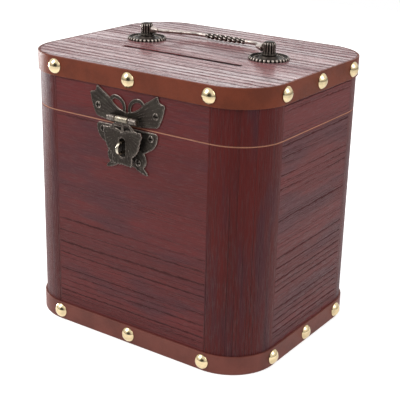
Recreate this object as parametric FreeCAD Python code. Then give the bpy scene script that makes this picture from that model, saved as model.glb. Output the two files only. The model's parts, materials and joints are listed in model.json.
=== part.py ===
import FreeCAD, Part
import math
import os
from FreeCAD import Vector

# A wooden money box with a hinged lid, a coin slot, a butterfly hasp and a bail handle.
# Millimetres. The origin is the middle of the underside, +Z is up and the front faces -Y.

# Carcass
BOX_WIDTH = 172.0
BOX_DEPTH = 140.0
BOX_HEIGHT = 175.0
CORNER_RADIUS = 30.0
WALL = 6.0
BOARD_THICKNESS = 5.0
BOARD_STEP = 2.0
TOP_EDGE_ROUND = 0.6
TONGUE_WIDTH = 2.0
TONGUE_DEPTH = 3.0
GLUE_CLEARANCE = 0.05
LID_GAP = 0.1
SEAM_CHAMFER = 0.5

# Coin slot
SLOT_LENGTH = 89.0
SLOT_WIDTH = 4.4
SLOT_FROM_MIDDLE = 20.0

# Bands and dome nails
BAND_HEIGHT = 12.0
BAND_THICKNESS = 1.2
BAND_EDGE_ROUND = 0.4
BAND_FLOOR_GAP = 0.2
BAND_JOINT_GAP = 0.4
BAND_JOINT_FROM_MIDDLE = 22.0
STUD_RADIUS = 4.75
STUD_RISE = 3.0
NAIL_RADIUS = 0.7
NAIL_LENGTH = 5.0
NAIL_CLEARANCE = 0.05

# Butt hinges on the back
HINGE_SPACING = 80.0
HINGE_WIDTH = 24.0
HINGE_LEAF_HEIGHT = 13.0
HINGE_THICKNESS = 1.0
HINGE_CORNER_RADIUS = 2.5
HINGE_KNUCKLE_RADIUS = 2.2
HINGE_KNUCKLES = 3
HINGE_STANDOFF = 0.3
HINGE_PIN_RADIUS = 1.1
HINGE_PIN_HEAD_RADIUS = 1.6
HINGE_PIN_HEAD_RISE = 0.6
HINGE_SCREW_SPACING = 14.0
HINGE_SCREW_HEIGHT = 8.0

# Butterfly hasp on the front: outline points are (across, up) from its middle on the seam
HASP_FROM_MIDDLE = -1.0
HASP_WING_HEIGHT = 21.0
HASP_BAND_GAP = 0.5
HASP_THICKNESS = 1.0
HASP_BARREL_OUT = 4.9
HASP_BARREL_RISE = 4.9
HASP_BARREL_RADIUS = 1.9
HASP_BARREL_LENGTH = 21.4
HASP_FLAP_KNUCKLE = 9.4
HASP_PIN_RADIUS = 0.9
HASP_EYE_DROP = 12.0
HASP_FLAP_SLOT_WIDTH = 4.8
HASP_FLAP_SLOT_HEIGHT = 11.6
STAPLE_WIRE_RADIUS = 0.9
STAPLE_BEND_RADIUS = 3.1
STAPLE_OUT = 9.8
UPPER_WING_SCREW = (21.2, 9.4)
LOWER_WING_SCREW = (17.8, -4.5)
LOWER_FOOT_SCREW = (8.6, -20.6)
UPPER_PLATE_OUTLINE = [
    (0.0, 8.4),
    (1.4, 9.6),
    [(3.4, 15.6), (8.0, 17.5)],
    [(10.9, 16.8), (12.2, 15.0)],
    (20.9, 20.5),
    [(22.1, HASP_WING_HEIGHT), (22.7, 19.9)],
    [(23.0, 18.5), (24.2, 17.4)],
    (26.4, 16.8),
    [(27.4, 16.1), (27.1, 14.9)],
    [(26.1, 10.2), (24.2, 5.6)],
    [(23.2, 3.7), (21.6, 2.4)],
    (10.6, 0.9),
    (0.0, 0.9),
]
FEELER_HOLE_OUTLINE = [
    (3.2, 9.2),
    [(4.4, 13.8), (7.2, 15.2)],
    [(9.0, 15.4), (10.3, 14.3)],
    [(7.4, 11.0), (3.2, 9.2)],
]
LOWER_PLATE_OUTLINE = [
    (0.0, -0.9),
    (20.2, -0.9),
    [(21.9, -1.5), (22.4, -3.4)],
    [(20.9, -8.6), (16.7, -12.2)],
    (12.7, -14.8),
    [(14.5, -19.2), (12.3, -23.7)],
    [(13.5, -25.4), (15.3, -26.4)],
    [(15.5, -27.2), (14.6, -27.6)],
    [(10.6, -26.6), (6.0, -24.1)],
    (0.0, -23.6),
]
FLAP_OUTLINE = [
    (0.0, -2.6),
    [(5.5, -0.9), (11.4, -0.8)],
    [(13.8, -1.6), (14.4, -3.4)],
    [(13.4, -6.6), (12.7, -9.6)],
    [(11.0, -13.8), (7.2, -17.2)],
    [(7.6, -20.2), (6.8, -23.0)],
    (0.0, -22.6),
]
FLAP_NECK_OUTLINE = [
    (0.0, 4.0),
    (4.6, 4.0),
    (4.6, 2.4),
    [(7.0, 1.3), (8.6, -1.0)],
    (8.6, -3.0),
    (0.0, -3.0),
]
FLAP_NECK_HOLE_OUTLINE = [
    (0.9, 1.3),
    (3.6, 1.3),
    [(5.4, 0.5), (6.2, -0.7)],
    [(3.4, -1.2), (0.9, -2.1)],
    (0.9, 1.3),
]

# Handle on the top board
HANDLE_SPACING = 93.0
HANDLE_FROM_MIDDLE = 7.0
ROSETTE_RADIUS = 12.6
ROSETTE_RIM_HEIGHT = 2.2
ROSETTE_DISH_HEIGHT = 1.0
ROSETTE_RIM_WIDTH = 3.2
ROSETTE_BOSS_RADIUS = 5.2
ROSETTE_TEETH = 30
ROSETTE_NOTCH_RADIUS = 0.8
POST_RADIUS = 4.0
POST_COLLAR_RADIUS = 4.5
POST_COLLAR_HEIGHT = 1.2
POST_TOP_HEIGHT = 10.8
POST_DOME_RISE = 0.9
POST_FLUTES = 14
POST_FLUTE_RADIUS = 0.55
PIVOT_HEIGHT = 6.5
TRUNNION_RADIUS = 1.3
TRUNNION_DEPTH = 2.4
BAIL_SIDE_GAP = 0.4
BAIL_REST_GAP = 0.3
BAIL_REACH = 23.2
BAIL_CORNER_HALF_WIDTH = 24.5
BAIL_BEND_RADIUS = 11.0
BAIL_WIRE_RADIUS = 1.7
BAIL_HUB_RADIUS = 2.7
BAIL_HUB_LENGTH = 4.2
GRIP_HALF_LENGTH = 16.2
GRIP_BEADS = 9
GRIP_BEAD_RADIUS = 2.6
GRIP_END_BEAD_RADIUS = 2.1

# Screws
WOOD_SCREW_HEAD_RADIUS = 2.1
WOOD_SCREW_HEAD_RISE = 0.7
WOOD_SCREW_RADIUS = 0.9
WOOD_SCREW_LENGTH = 5.0
WOOD_SCREW_CLEARANCE = 0.1
HANDLE_SCREW_RADIUS = 1.9
HANDLE_SCREW_HEAD_RADIUS = 3.6
HANDLE_SCREW_HEAD_RISE = 2.2
HANDLE_SCREW_GRIP = 2.5
HANDLE_SCREW_CLEARANCE = 0.1
RUNNING_CLEARANCE = 0.05
KNUCKLE_GAP = 0.25

# Places that follow from the sizes
X_AXIS = Vector(1, 0, 0)
Y_AXIS = Vector(0, 1, 0)
Z_AXIS = Vector(0, 0, 1)
FRONT_FACE = -BOX_DEPTH / 2
BACK_FACE = BOX_DEPTH / 2
UPPER_BOARD_BOTTOM = BOX_HEIGHT - BOARD_THICKNESS
SEAM_HEIGHT = BOX_HEIGHT - BAND_HEIGHT - HASP_BAND_GAP - HASP_WING_HEIGHT
BAIL_TILT = math.degrees(math.asin((PIVOT_HEIGHT - GRIP_BEAD_RADIUS - BAIL_REST_GAP) / BAIL_REACH))
HINGE_AXIS_OUT = HINGE_KNUCKLE_RADIUS + HINGE_STANDOFF

# The way that each side faces
SIDES = {
    "right": X_AXIS,
    "back": Y_AXIS,
    "left": -X_AXIS,
    "front": -Y_AXIS,
}
CORNERS = {
    "front_left": (-1, -1),
    "front_right": (1, -1),
    "back_left": (-1, 1),
    "back_right": (1, 1),
}


def block(x_range, y_range, z_range):
    """A box between two corners, given as its ranges along X, Y and Z."""
    corner = Vector(x_range[0], y_range[0], z_range[0])
    size = Vector(x_range[1], y_range[1], z_range[1]) - corner
    return Part.makeBox(size.x, size.y, size.z, corner)


def rod(radius, start, end):
    """A round bar from one point to another."""
    return Part.makeCylinder(radius, (end - start).Length, start, end - start)


def turned(shape, angle, axis=Z_AXIS, centre=Vector()):
    """A copy of the shape, turned by an angle in degrees."""
    copy = shape.copy()
    copy.rotate(centre, axis, angle)
    return copy


def moved(shape, offset):
    """A copy of the shape, moved by a vector."""
    copy = shape.copy()
    copy.translate(offset)
    return copy


def level_edges(solid, height):
    """The edges of a solid that lie flat at one height."""
    box_of = [(edge, edge.BoundBox) for edge in solid.Edges]
    return [edge for edge, box in box_of if math.isclose(box.ZMin, height) and math.isclose(box.ZMax, height)]


def rounded_block(inset, bottom, top):
    """The box's plan with its round corners, drawn in all round by inset, between two heights."""
    half_width = BOX_WIDTH / 2 - inset
    half_depth = BOX_DEPTH / 2 - inset
    solid = block((-half_width, half_width), (-half_depth, half_depth), (bottom, top))
    upright = [edge for edge in solid.Edges if math.isclose(edge.BoundBox.ZLength, top - bottom)]
    return solid.makeFillet(CORNER_RADIUS - inset, upright)


def half_sizes(outward):
    """For the side that faces outward: half the distance across the box, and half the length of the side."""
    if outward.x:
        return BOX_WIDTH / 2, BOX_DEPTH / 2
    return BOX_DEPTH / 2, BOX_WIDTH / 2


def on_side(shape, outward):
    """A copy of a shape made for the right side, turned about Z to another side."""
    return turned(shape, math.degrees(math.atan2(outward.y, outward.x)))


def tongues(outward, bottom, top, clearance):
    """The two tongues on the upright edges of a side panel, grown by a clearance."""
    half_across, half_length = half_sizes(outward)
    middle = half_across - WALL / 2
    half_width = TONGUE_WIDTH / 2 + clearance
    edge = half_length - CORNER_RADIUS
    tip = edge + TONGUE_DEPTH + clearance
    thick = (middle - half_width, middle + half_width)
    pair = [block(thick, (edge, tip), (bottom, top)), block(thick, (-tip, -edge), (bottom, top))]
    return [on_side(tongue, outward) for tongue in pair]


def wall_ring(bottom, top, seam):
    """The four walls as one ring, with its outer edge at the seam bevelled."""
    outside = rounded_block(0, bottom, top)
    outside = outside.makeChamfer(SEAM_CHAMFER, level_edges(outside, seam))
    return outside.cut(rounded_block(WALL, bottom, top))


def wall_panel(ring, outward, bottom, top):
    """A flat wall board between two corner posts, with its tongues."""
    half_across, half_length = half_sizes(outward)
    edge = half_length - CORNER_RADIUS
    region = block((0, half_across), (-edge, edge), (bottom, top))
    board = ring.common(on_side(region, outward))
    return board.fuse(tongues(outward, bottom, top, 0)).removeSplitter()


def corner_post(ring, corner, bottom, top):
    """A quarter-round corner post, grooved for the tongues of its two panels."""
    x_sign, y_sign = CORNERS[corner]
    x_range = sorted((x_sign * (BOX_WIDTH / 2 - CORNER_RADIUS), x_sign * BOX_WIDTH / 2))
    y_range = sorted((y_sign * (BOX_DEPTH / 2 - CORNER_RADIUS), y_sign * BOX_DEPTH / 2))
    post = ring.common(block(x_range, y_range, (bottom, top)))
    for outward in SIDES.values():
        post = post.cut(tongues(outward, bottom, top, GLUE_CLEARANCE))
    return post


def bottom_board():
    """The floor of the box, with a step that locates the walls."""
    step = rounded_block(WALL + GLUE_CLEARANCE, BOARD_THICKNESS, BOARD_THICKNESS + BOARD_STEP)
    return rounded_block(0, 0, BOARD_THICKNESS).fuse(step).removeSplitter()


def slot_cutter(length, width, centre, depth, axis):
    """A round-ended slot along X, cut right through along an axis from its centre both ways."""
    half_run = X_AXIS * (length - width) / 2
    reach = axis * depth
    ends = [rod(width / 2, centre + run - reach, centre + run + reach) for run in (half_run, -half_run)]
    across = axis.cross(X_AXIS) * width / 2
    corners = [half_run + across, half_run - across, -half_run - across, -half_run + across]
    outline = Part.makePolygon([centre + corner - reach for corner in corners + corners[:1]])
    return Part.Face(outline).extrude(reach * 2).fuse(ends).removeSplitter()


def handle_places():
    """The two points on the top of the lid where the handle's posts stand, left then right."""
    half = HANDLE_SPACING / 2
    return [Vector(x, HANDLE_FROM_MIDDLE, BOX_HEIGHT) for x in (-half, half)]


def top_board():
    """The top of the lid, with the coin slot and the holes for the handle's screws."""
    slab = rounded_block(0, UPPER_BOARD_BOTTOM, BOX_HEIGHT)
    slab = slab.makeFillet(TOP_EDGE_ROUND, level_edges(slab, BOX_HEIGHT))
    step = rounded_block(WALL + GLUE_CLEARANCE, UPPER_BOARD_BOTTOM - BOARD_STEP, UPPER_BOARD_BOTTOM)
    board = slab.fuse(step).removeSplitter()
    slot_centre = Vector(0, -SLOT_FROM_MIDDLE, UPPER_BOARD_BOTTOM)
    cutters = [slot_cutter(SLOT_LENGTH, SLOT_WIDTH, slot_centre, 2 * BOARD_THICKNESS, Z_AXIS)]
    drop = Z_AXIS * 2 * BOARD_THICKNESS
    for place in handle_places():
        cutters.append(rod(HANDLE_SCREW_RADIUS + HANDLE_SCREW_CLEARANCE, place - drop, place))
    return board.cut(cutters)


def headed_pin(head_radius, head_rise, shank_radius, shank_length, point=0.0):
    """A domed head with a shank under it, its seat at the origin and its head along +Z."""
    ball_radius = (head_radius ** 2 + head_rise ** 2) / (2 * head_rise)
    ball_centre = head_rise - ball_radius
    half_angle = math.asin(head_radius / ball_radius) / 2
    shoulder = Vector(ball_radius * math.sin(half_angle), 0, ball_centre + ball_radius * math.cos(half_angle))
    dome = Part.Arc(Vector(head_radius, 0, 0), shoulder, Vector(0, 0, head_rise)).toShape()
    side = [
        Vector(0, 0, head_rise),
        Vector(0, 0, -shank_length),
        Vector(shank_radius, 0, point - shank_length),
        Vector(shank_radius, 0, 0),
        Vector(head_radius, 0, 0),
    ]
    profile = Part.Wire([dome] + Part.makePolygon(side).Edges)
    return Part.Face(profile).revolve(Vector(), Z_AXIS, 360)


def facing(shape, place, direction):
    """A copy of a shape that points along +Z, set at a place and turned to point another way."""
    copy = shape.copy()
    copy.Placement = FreeCAD.Placement(place, FreeCAD.Rotation(Z_AXIS, direction))
    return copy


def band_range(at_top):
    """The lower and upper edge of the band at the top or at the foot of the box."""
    if at_top:
        return BOX_HEIGHT - BAND_HEIGHT, BOX_HEIGHT
    return BAND_FLOOR_GAP, BAND_HEIGHT


def stud_places(at_top):
    """Where each dome nail of a band sits on the band's face, and the way it points."""
    height = sum(band_range(at_top)) / 2
    places = []
    for outward in SIDES.values():
        half_across, half_length = half_sizes(outward)
        along = Z_AXIS.cross(outward)
        seat = outward * (half_across + BAND_THICKNESS) + Z_AXIS * height
        end = half_length - CORNER_RADIUS
        places += [(seat + along * step, outward) for step in (-end, 0, end)]
    return places


def band(at_top):
    """A thin strip wrapped round the box, its two ends meeting at the back, pierced for its nails."""
    bottom, top = band_range(at_top)
    outside = rounded_block(-BAND_THICKNESS, bottom, top)
    outside = outside.makeFillet(BAND_EDGE_ROUND, level_edges(outside, bottom) + level_edges(outside, top))
    strip = outside.cut(rounded_block(0, bottom, top))
    joint_middle = BAND_JOINT_FROM_MIDDLE
    joint = (joint_middle - BAND_JOINT_GAP / 2, joint_middle + BAND_JOINT_GAP / 2)
    cutters = [block(joint, (0, BOX_DEPTH), (bottom, top))]
    for place, outward in stud_places(at_top):
        cutters.append(rod(NAIL_RADIUS + NAIL_CLEARANCE, place - outward * NAIL_LENGTH, place + outward))
    return strip.cut(cutters)


def band_studs(at_top):
    """The dome nails of a band."""
    nail = headed_pin(STUD_RADIUS, STUD_RISE, NAIL_RADIUS, NAIL_LENGTH, 2 * NAIL_RADIUS)
    return Part.Compound([facing(nail, place, outward) for place, outward in stud_places(at_top)])


def hinge_origin(side_sign):
    """The middle of a hinge's pin."""
    return Vector(side_sign * HINGE_SPACING / 2, BACK_FACE + HINGE_AXIS_OUT, SEAM_HEIGHT)


def hinge_knuckle(index, radius, gap):
    """One knuckle of a hinge at the origin, its length grown at both ends by a gap."""
    length = HINGE_WIDTH / HINGE_KNUCKLES
    start = index * length - HINGE_WIDTH / 2
    return rod(radius, X_AXIS * (start - gap), X_AXIS * (start + length + gap))


def hinge_screw_places(up):
    """The seats of a leaf's two screws, from the middle of the pin."""
    seat = HINGE_THICKNESS - HINGE_AXIS_OUT
    half = HINGE_SCREW_SPACING / 2
    return [Vector(x, seat, up * HINGE_SCREW_HEIGHT) for x in (-half, half)]


def hinge_leaf(up):
    """A hinge leaf at the origin: up is 1 for the lid's leaf, with the odd knuckles, or -1 for the box's."""
    half_width = HINGE_WIDTH / 2
    thick = (-HINGE_AXIS_OUT, HINGE_THICKNESS - HINGE_AXIS_OUT)
    plate = block((-half_width, half_width), thick, sorted((0, up * HINGE_LEAF_HEIGHT)))
    far = up * HINGE_LEAF_HEIGHT
    corners = [edge for edge in plate.Edges if math.isclose(edge.Length, HINGE_THICKNESS)]
    corners = [edge for edge in corners if math.isclose(edge.CenterOfMass.z, far)]
    leaf = plate.makeFillet(HINGE_CORNER_RADIUS, corners)
    own = [index for index in range(HINGE_KNUCKLES) if index % 2 == (up > 0)]
    other = [index for index in range(HINGE_KNUCKLES) if index not in own]
    leaf = leaf.fuse([hinge_knuckle(index, HINGE_KNUCKLE_RADIUS, 0) for index in own])
    room = [hinge_knuckle(index, HINGE_AXIS_OUT + KNUCKLE_GAP, KNUCKLE_GAP / 2) for index in other]
    bore = rod(HINGE_PIN_RADIUS + RUNNING_CLEARANCE, X_AXIS * -HINGE_WIDTH, X_AXIS * HINGE_WIDTH)
    through = Y_AXIS * HINGE_AXIS_OUT
    hole_radius = WOOD_SCREW_RADIUS + WOOD_SCREW_CLEARANCE
    holes = [rod(hole_radius, seat - through, seat + through) for seat in hinge_screw_places(up)]
    return leaf.cut(room + [bore] + holes).removeSplitter()


def hinge_pin():
    """A hinge pin at the origin, with a low domed head at each end."""
    half = HINGE_WIDTH / 2
    head = headed_pin(HINGE_PIN_HEAD_RADIUS, HINGE_PIN_HEAD_RISE, HINGE_PIN_RADIUS, half)
    ends = [facing(head, X_AXIS * sign * half, X_AXIS * sign) for sign in (-1, 1)]
    return ends[0].fuse(ends[1]).removeSplitter()


def wood_screw():
    """A small wood screw with a domed head."""
    return headed_pin(
        WOOD_SCREW_HEAD_RADIUS, WOOD_SCREW_HEAD_RISE, WOOD_SCREW_RADIUS, WOOD_SCREW_LENGTH, WOOD_SCREW_RADIUS
    )


def hinge_screws(up):
    """The screws of both hinges' leaves on the lid, or on the box."""
    screws = []
    for side_sign in (-1, 1):
        for seat in hinge_screw_places(up):
            screws.append(facing(wood_screw(), hinge_origin(side_sign) + seat, Y_AXIS))
    return Part.Compound(screws)


def hasp_point(across, up, out):
    """A point on the hasp: across from its middle, up from the seam and out from the box's front."""
    return Vector(HASP_FROM_MIDDLE + across, FRONT_FACE - out, SEAM_HEIGHT + up)


def outline_edges(outline, side_sign, out):
    """The edges of an outline on one side of the hasp: a pair of points is an arc through the first."""
    place = hasp_point(side_sign * outline[0][0], outline[0][1], out)
    edges = []
    for entry in outline[1:]:
        if isinstance(entry, list):
            via, end = [hasp_point(side_sign * across, up, out) for across, up in entry]
            edges.append(Part.Arc(place, via, end).toShape())
        else:
            end = hasp_point(side_sign * entry[0], entry[1], out)
            edges.append(Part.LineSegment(place, end).toShape())
        place = end
    return edges


def stamped(edges, thickness):
    """A flat stamping with the outline given by its edges, as thick as said towards the front."""
    wire = Part.Wire(Part.__sortEdges__(edges))
    return Part.Face(wire).extrude(Y_AXIS * -thickness)


def mirrored_plate(outline, out):
    """A hasp plate from the right half of its outline, its back face out from the box's front."""
    return stamped(outline_edges(outline, 1, out) + outline_edges(outline, -1, out), HASP_THICKNESS)


def hasp_screw_seats(places):
    """The seats of a pair of screws for each place, on both sides of the hasp."""
    return [hasp_point(sign * across, up, HASP_THICKNESS) for across, up in places for sign in (-1, 1)]


def pierced(plate, places):
    """A hasp plate with its screw holes."""
    radius = WOOD_SCREW_RADIUS + WOOD_SCREW_CLEARANCE
    through = Y_AXIS * HASP_THICKNESS
    return plate.cut([rod(radius, seat - through, seat + through) for seat in hasp_screw_seats(places)])


def hasp_screws(places):
    """The wood screws of a hasp plate."""
    return Part.Compound([facing(wood_screw(), seat, -Y_AXIS) for seat in hasp_screw_seats(places)])


def barrel_rod(radius, start, end):
    """A round bar on the axis of the hasp's barrel."""
    centre = hasp_point(0, HASP_BARREL_RISE, HASP_BARREL_OUT)
    return rod(radius, centre + X_AXIS * start, centre + X_AXIS * end)


def barrel_bore():
    """The bore of the hasp's barrel."""
    return barrel_rod(HASP_PIN_RADIUS + RUNNING_CLEARANCE, -HASP_BARREL_LENGTH, HASP_BARREL_LENGTH)


def hasp_upper_plate():
    """The upper wings with their looped feelers, and a strap rolled round the pin at each end."""
    plate = mirrored_plate(UPPER_PLATE_OUTLINE, 0)
    holes = [stamped(outline_edges(FEELER_HOLE_OUTLINE, sign, 0), HASP_THICKNESS) for sign in (-1, 1)]
    plate = pierced(plate.cut(holes), [UPPER_WING_SCREW])
    inner = HASP_FLAP_KNUCKLE / 2 + KNUCKLE_GAP
    outer = HASP_BARREL_LENGTH / 2
    crown = HASP_BARREL_RISE + HASP_BARREL_RADIUS
    straps = []
    for start, end in ((-outer, -inner), (inner, outer)):
        low = hasp_point(start, crown - HASP_THICKNESS, HASP_BARREL_OUT)
        high = hasp_point(end, crown, 0)
        straps.append(block((low.x, high.x), (low.y, high.y), (low.z, high.z)))
        straps.append(barrel_rod(HASP_BARREL_RADIUS, start, end))
    return plate.fuse(straps).cut(barrel_bore()).removeSplitter()


def hasp_pin():
    """The pin of the hasp's barrel, as long as the barrel."""
    return barrel_rod(HASP_PIN_RADIUS, -HASP_BARREL_LENGTH / 2, HASP_BARREL_LENGTH / 2)


def hasp_flap():
    """The small butterfly that folds down over the staple, rolled round the pin at its pierced neck."""
    back = HASP_BARREL_OUT - HASP_THICKNESS / 2
    half_knuckle = HASP_FLAP_KNUCKLE / 2
    neck = mirrored_plate(FLAP_NECK_OUTLINE, back)
    holes = [stamped(outline_edges(FLAP_NECK_HOLE_OUTLINE, sign, back), HASP_THICKNESS) for sign in (-1, 1)]
    flap = mirrored_plate(FLAP_OUTLINE, back)
    flap = flap.fuse([neck.cut(holes), barrel_rod(HASP_BARREL_RADIUS, -half_knuckle, half_knuckle)])
    eye = hasp_point(0, -HASP_EYE_DROP, back)
    upright_slot = slot_cutter(HASP_FLAP_SLOT_HEIGHT, HASP_FLAP_SLOT_WIDTH, eye, 2 * HASP_THICKNESS, Y_AXIS)
    return flap.cut([turned(upright_slot, 90, Y_AXIS, eye), barrel_bore()]).removeSplitter()


def staple_wire(radius):
    """A wire bent into an upright loop that stands out from the box's front."""
    bend_out = STAPLE_OUT - STAPLE_BEND_RADIUS
    top = -HASP_EYE_DROP + STAPLE_BEND_RADIUS
    bottom = -HASP_EYE_DROP - STAPLE_BEND_RADIUS
    upper_foot = hasp_point(0, top, 0)
    upper_bend = hasp_point(0, top, bend_out)
    lower_bend = hasp_point(0, bottom, bend_out)
    path = Part.Wire([
        Part.LineSegment(upper_foot, upper_bend).toShape(),
        Part.Arc(upper_bend, hasp_point(0, -HASP_EYE_DROP, STAPLE_OUT), lower_bend).toShape(),
        Part.LineSegment(lower_bend, hasp_point(0, bottom, 0)).toShape(),
    ])
    section = Part.Wire(Part.Circle(upper_foot, Y_AXIS, radius).toShape())
    return path.makePipeShell([section], True, False)


def hasp_lower_plate():
    """The lower wings and feet, pierced for the staple."""
    plate = pierced(mirrored_plate(LOWER_PLATE_OUTLINE, 0), [LOWER_WING_SCREW, LOWER_FOOT_SCREW])
    return plate.cut(staple_wire(STAPLE_WIRE_RADIUS + RUNNING_CLEARANCE))


def revolved(points, axis):
    """A solid of revolution about an axis through the origin, from a closed list of points."""
    return Part.Face(Part.makePolygon(points + points[:1])).revolve(Vector(), axis, 360)


def around(cutter, count):
    """Copies of a cutter, spaced evenly about the Z axis."""
    return [turned(cutter, step * 360 / count) for step in range(count)]


def rosette():
    """A dished washer with a toothed rim and a boss for the post, at the origin."""
    rim_inside = ROSETTE_RADIUS - ROSETTE_RIM_WIDTH
    bevel = ROSETTE_RIM_HEIGHT - ROSETTE_DISH_HEIGHT
    disc = revolved([
        Vector(0, 0, 0),
        Vector(ROSETTE_RADIUS, 0, 0),
        Vector(ROSETTE_RADIUS, 0, ROSETTE_DISH_HEIGHT),
        Vector(ROSETTE_RADIUS - bevel, 0, ROSETTE_RIM_HEIGHT),
        Vector(rim_inside, 0, ROSETTE_DISH_HEIGHT),
        Vector(ROSETTE_BOSS_RADIUS + bevel, 0, ROSETTE_DISH_HEIGHT),
        Vector(ROSETTE_BOSS_RADIUS, 0, ROSETTE_RIM_HEIGHT),
        Vector(0, 0, ROSETTE_RIM_HEIGHT),
    ], Z_AXIS)
    edge = X_AXIS * ROSETTE_RADIUS
    notch = rod(ROSETTE_NOTCH_RADIUS, edge, edge + Z_AXIS * ROSETTE_RIM_HEIGHT)
    hole = rod(HANDLE_SCREW_RADIUS + HANDLE_SCREW_CLEARANCE, Vector(), Z_AXIS * ROSETTE_RIM_HEIGHT)
    return disc.cut(around(notch, ROSETTE_TEETH) + [hole])


def handle_post(inward):
    """A fluted post at the origin, standing on its rosette: inward is the way to the bail along X."""
    seat = Z_AXIS * ROSETTE_RIM_HEIGHT
    collar_top = ROSETTE_RIM_HEIGHT + POST_COLLAR_HEIGHT
    shoulder = POST_TOP_HEIGHT - POST_DOME_RISE
    column = revolved([
        seat,
        Vector(POST_COLLAR_RADIUS, 0, ROSETTE_RIM_HEIGHT),
        Vector(POST_COLLAR_RADIUS, 0, collar_top),
        Vector(POST_RADIUS, 0, collar_top + POST_COLLAR_RADIUS - POST_RADIUS),
        Vector(POST_RADIUS, 0, shoulder),
        Vector(POST_RADIUS - POST_DOME_RISE, 0, POST_TOP_HEIGHT),
        Z_AXIS * POST_TOP_HEIGHT,
    ], Z_AXIS)
    flute_foot = Vector(POST_RADIUS, 0, collar_top + POST_COLLAR_RADIUS - POST_RADIUS)
    flute = rod(POST_FLUTE_RADIUS, flute_foot, Vector(POST_RADIUS, 0, POST_TOP_HEIGHT))
    screw_hole = rod(HANDLE_SCREW_RADIUS + RUNNING_CLEARANCE, seat, seat + Z_AXIS * HANDLE_SCREW_GRIP)
    pivot = Z_AXIS * PIVOT_HEIGHT
    face = pivot + inward * (POST_RADIUS + BAIL_SIDE_GAP)
    blind_end = pivot + inward * (POST_RADIUS - TRUNNION_DEPTH)
    pivot_hole = rod(TRUNNION_RADIUS + RUNNING_CLEARANCE, blind_end, face)
    return column.cut(around(flute, POST_FLUTES) + [screw_hole, pivot_hole])


def handle_screws():
    """The two machine screws that hold the rosettes and posts from inside the lid."""
    grip = BOARD_STEP + BOARD_THICKNESS + ROSETTE_RIM_HEIGHT + HANDLE_SCREW_GRIP
    screw = headed_pin(HANDLE_SCREW_HEAD_RADIUS, HANDLE_SCREW_HEAD_RISE, HANDLE_SCREW_RADIUS, grip)
    seat_drop = Z_AXIS * (BOARD_STEP + BOARD_THICKNESS)
    return Part.Compound([facing(screw, place - seat_drop, -Z_AXIS) for place in handle_places()])


def bail_wire():
    """The bail's wire, flat on the XY plane: two slanted arms joined by bends to a straight grip."""
    hub = HANDLE_SPACING / 2 - POST_RADIUS - BAIL_SIDE_GAP - BAIL_HUB_LENGTH / 2
    run = Vector(hub - BAIL_CORNER_HALF_WIDTH, -BAIL_REACH, 0)
    turn = math.pi - math.atan2(BAIL_REACH, run.x)
    tangent = BAIL_BEND_RADIUS * math.tan((math.pi - turn) / 2)
    corner = Vector(BAIL_CORNER_HALF_WIDTH, BAIL_REACH, 0)
    arm_end = corner + run.normalize() * tangent
    grip_end = corner - X_AXIS * tangent
    bend_centre = grip_end - Y_AXIS * BAIL_BEND_RADIUS
    bend_middle = bend_centre + (corner - bend_centre).normalize() * BAIL_BEND_RADIUS
    right = [Vector(hub, 0, 0), arm_end, bend_middle, grip_end]
    left = [Vector(-point.x, point.y, 0) for point in right]
    path = Part.Wire([
        Part.LineSegment(right[0], right[1]).toShape(),
        Part.Arc(right[1], right[2], right[3]).toShape(),
        Part.LineSegment(right[3], left[3]).toShape(),
        Part.Arc(left[3], left[2], left[1]).toShape(),
        Part.LineSegment(left[1], left[0]).toShape(),
    ])
    section = Part.Wire(Part.Circle(right[0], right[1] - right[0], BAIL_WIRE_RADIUS).toShape())
    return path.makePipeShell([section], True, False)


def bail_grip():
    """The beaded grip: a row of beads turned on the grip's axis, fullest in the middle."""
    length = 2 * GRIP_HALF_LENGTH / GRIP_BEADS
    edges = []
    for index in range(GRIP_BEADS):
        start = index * length - GRIP_HALF_LENGTH
        middle = start + length / 2
        fullness = math.cos(math.pi / 2 * middle / GRIP_HALF_LENGTH)
        crown = GRIP_END_BEAD_RADIUS + (GRIP_BEAD_RADIUS - GRIP_END_BEAD_RADIUS) * fullness
        first = Vector(start, BAIL_WIRE_RADIUS, 0)
        last = Vector(start + length, BAIL_WIRE_RADIUS, 0)
        edges.append(Part.Arc(first, Vector(middle, crown, 0), last).toShape())
    ends = [
        Vector(GRIP_HALF_LENGTH, BAIL_WIRE_RADIUS, 0),
        Vector(GRIP_HALF_LENGTH, 0, 0),
        Vector(-GRIP_HALF_LENGTH, 0, 0),
        Vector(-GRIP_HALF_LENGTH, BAIL_WIRE_RADIUS, 0),
    ]
    profile = Part.Wire(Part.__sortEdges__(edges + Part.makePolygon(ends).Edges))
    return moved(Part.Face(profile).revolve(Vector(), X_AXIS, 360), Y_AXIS * BAIL_REACH)


def bail_hub(side_sign):
    """The flared end of an arm and the trunnion that turns in the post."""
    face = HANDLE_SPACING / 2 - POST_RADIUS - BAIL_SIDE_GAP
    outward = X_AXIS * side_sign
    inner = outward * (face - BAIL_HUB_LENGTH)
    flare = Part.makeCone(BAIL_WIRE_RADIUS, BAIL_HUB_RADIUS, BAIL_HUB_LENGTH, inner, outward)
    tip = face + BAIL_SIDE_GAP + TRUNNION_DEPTH - RUNNING_CLEARANCE
    return flare.fuse(rod(TRUNNION_RADIUS, outward * face, outward * tip))


def handle_bail():
    """The bail, lying back on the lid."""
    flat = bail_wire().fuse([bail_grip(), bail_hub(-1), bail_hub(1)]).removeSplitter()
    pivot = Vector(0, HANDLE_FROM_MIDDLE, BOX_HEIGHT + PIVOT_HEIGHT)
    return moved(turned(flat, -BAIL_TILT, X_AXIS), pivot)


def export(name, shape):
    """Write one sub-part to its own file."""
    shape.exportStep(f"parts/{name}.step")


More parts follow.
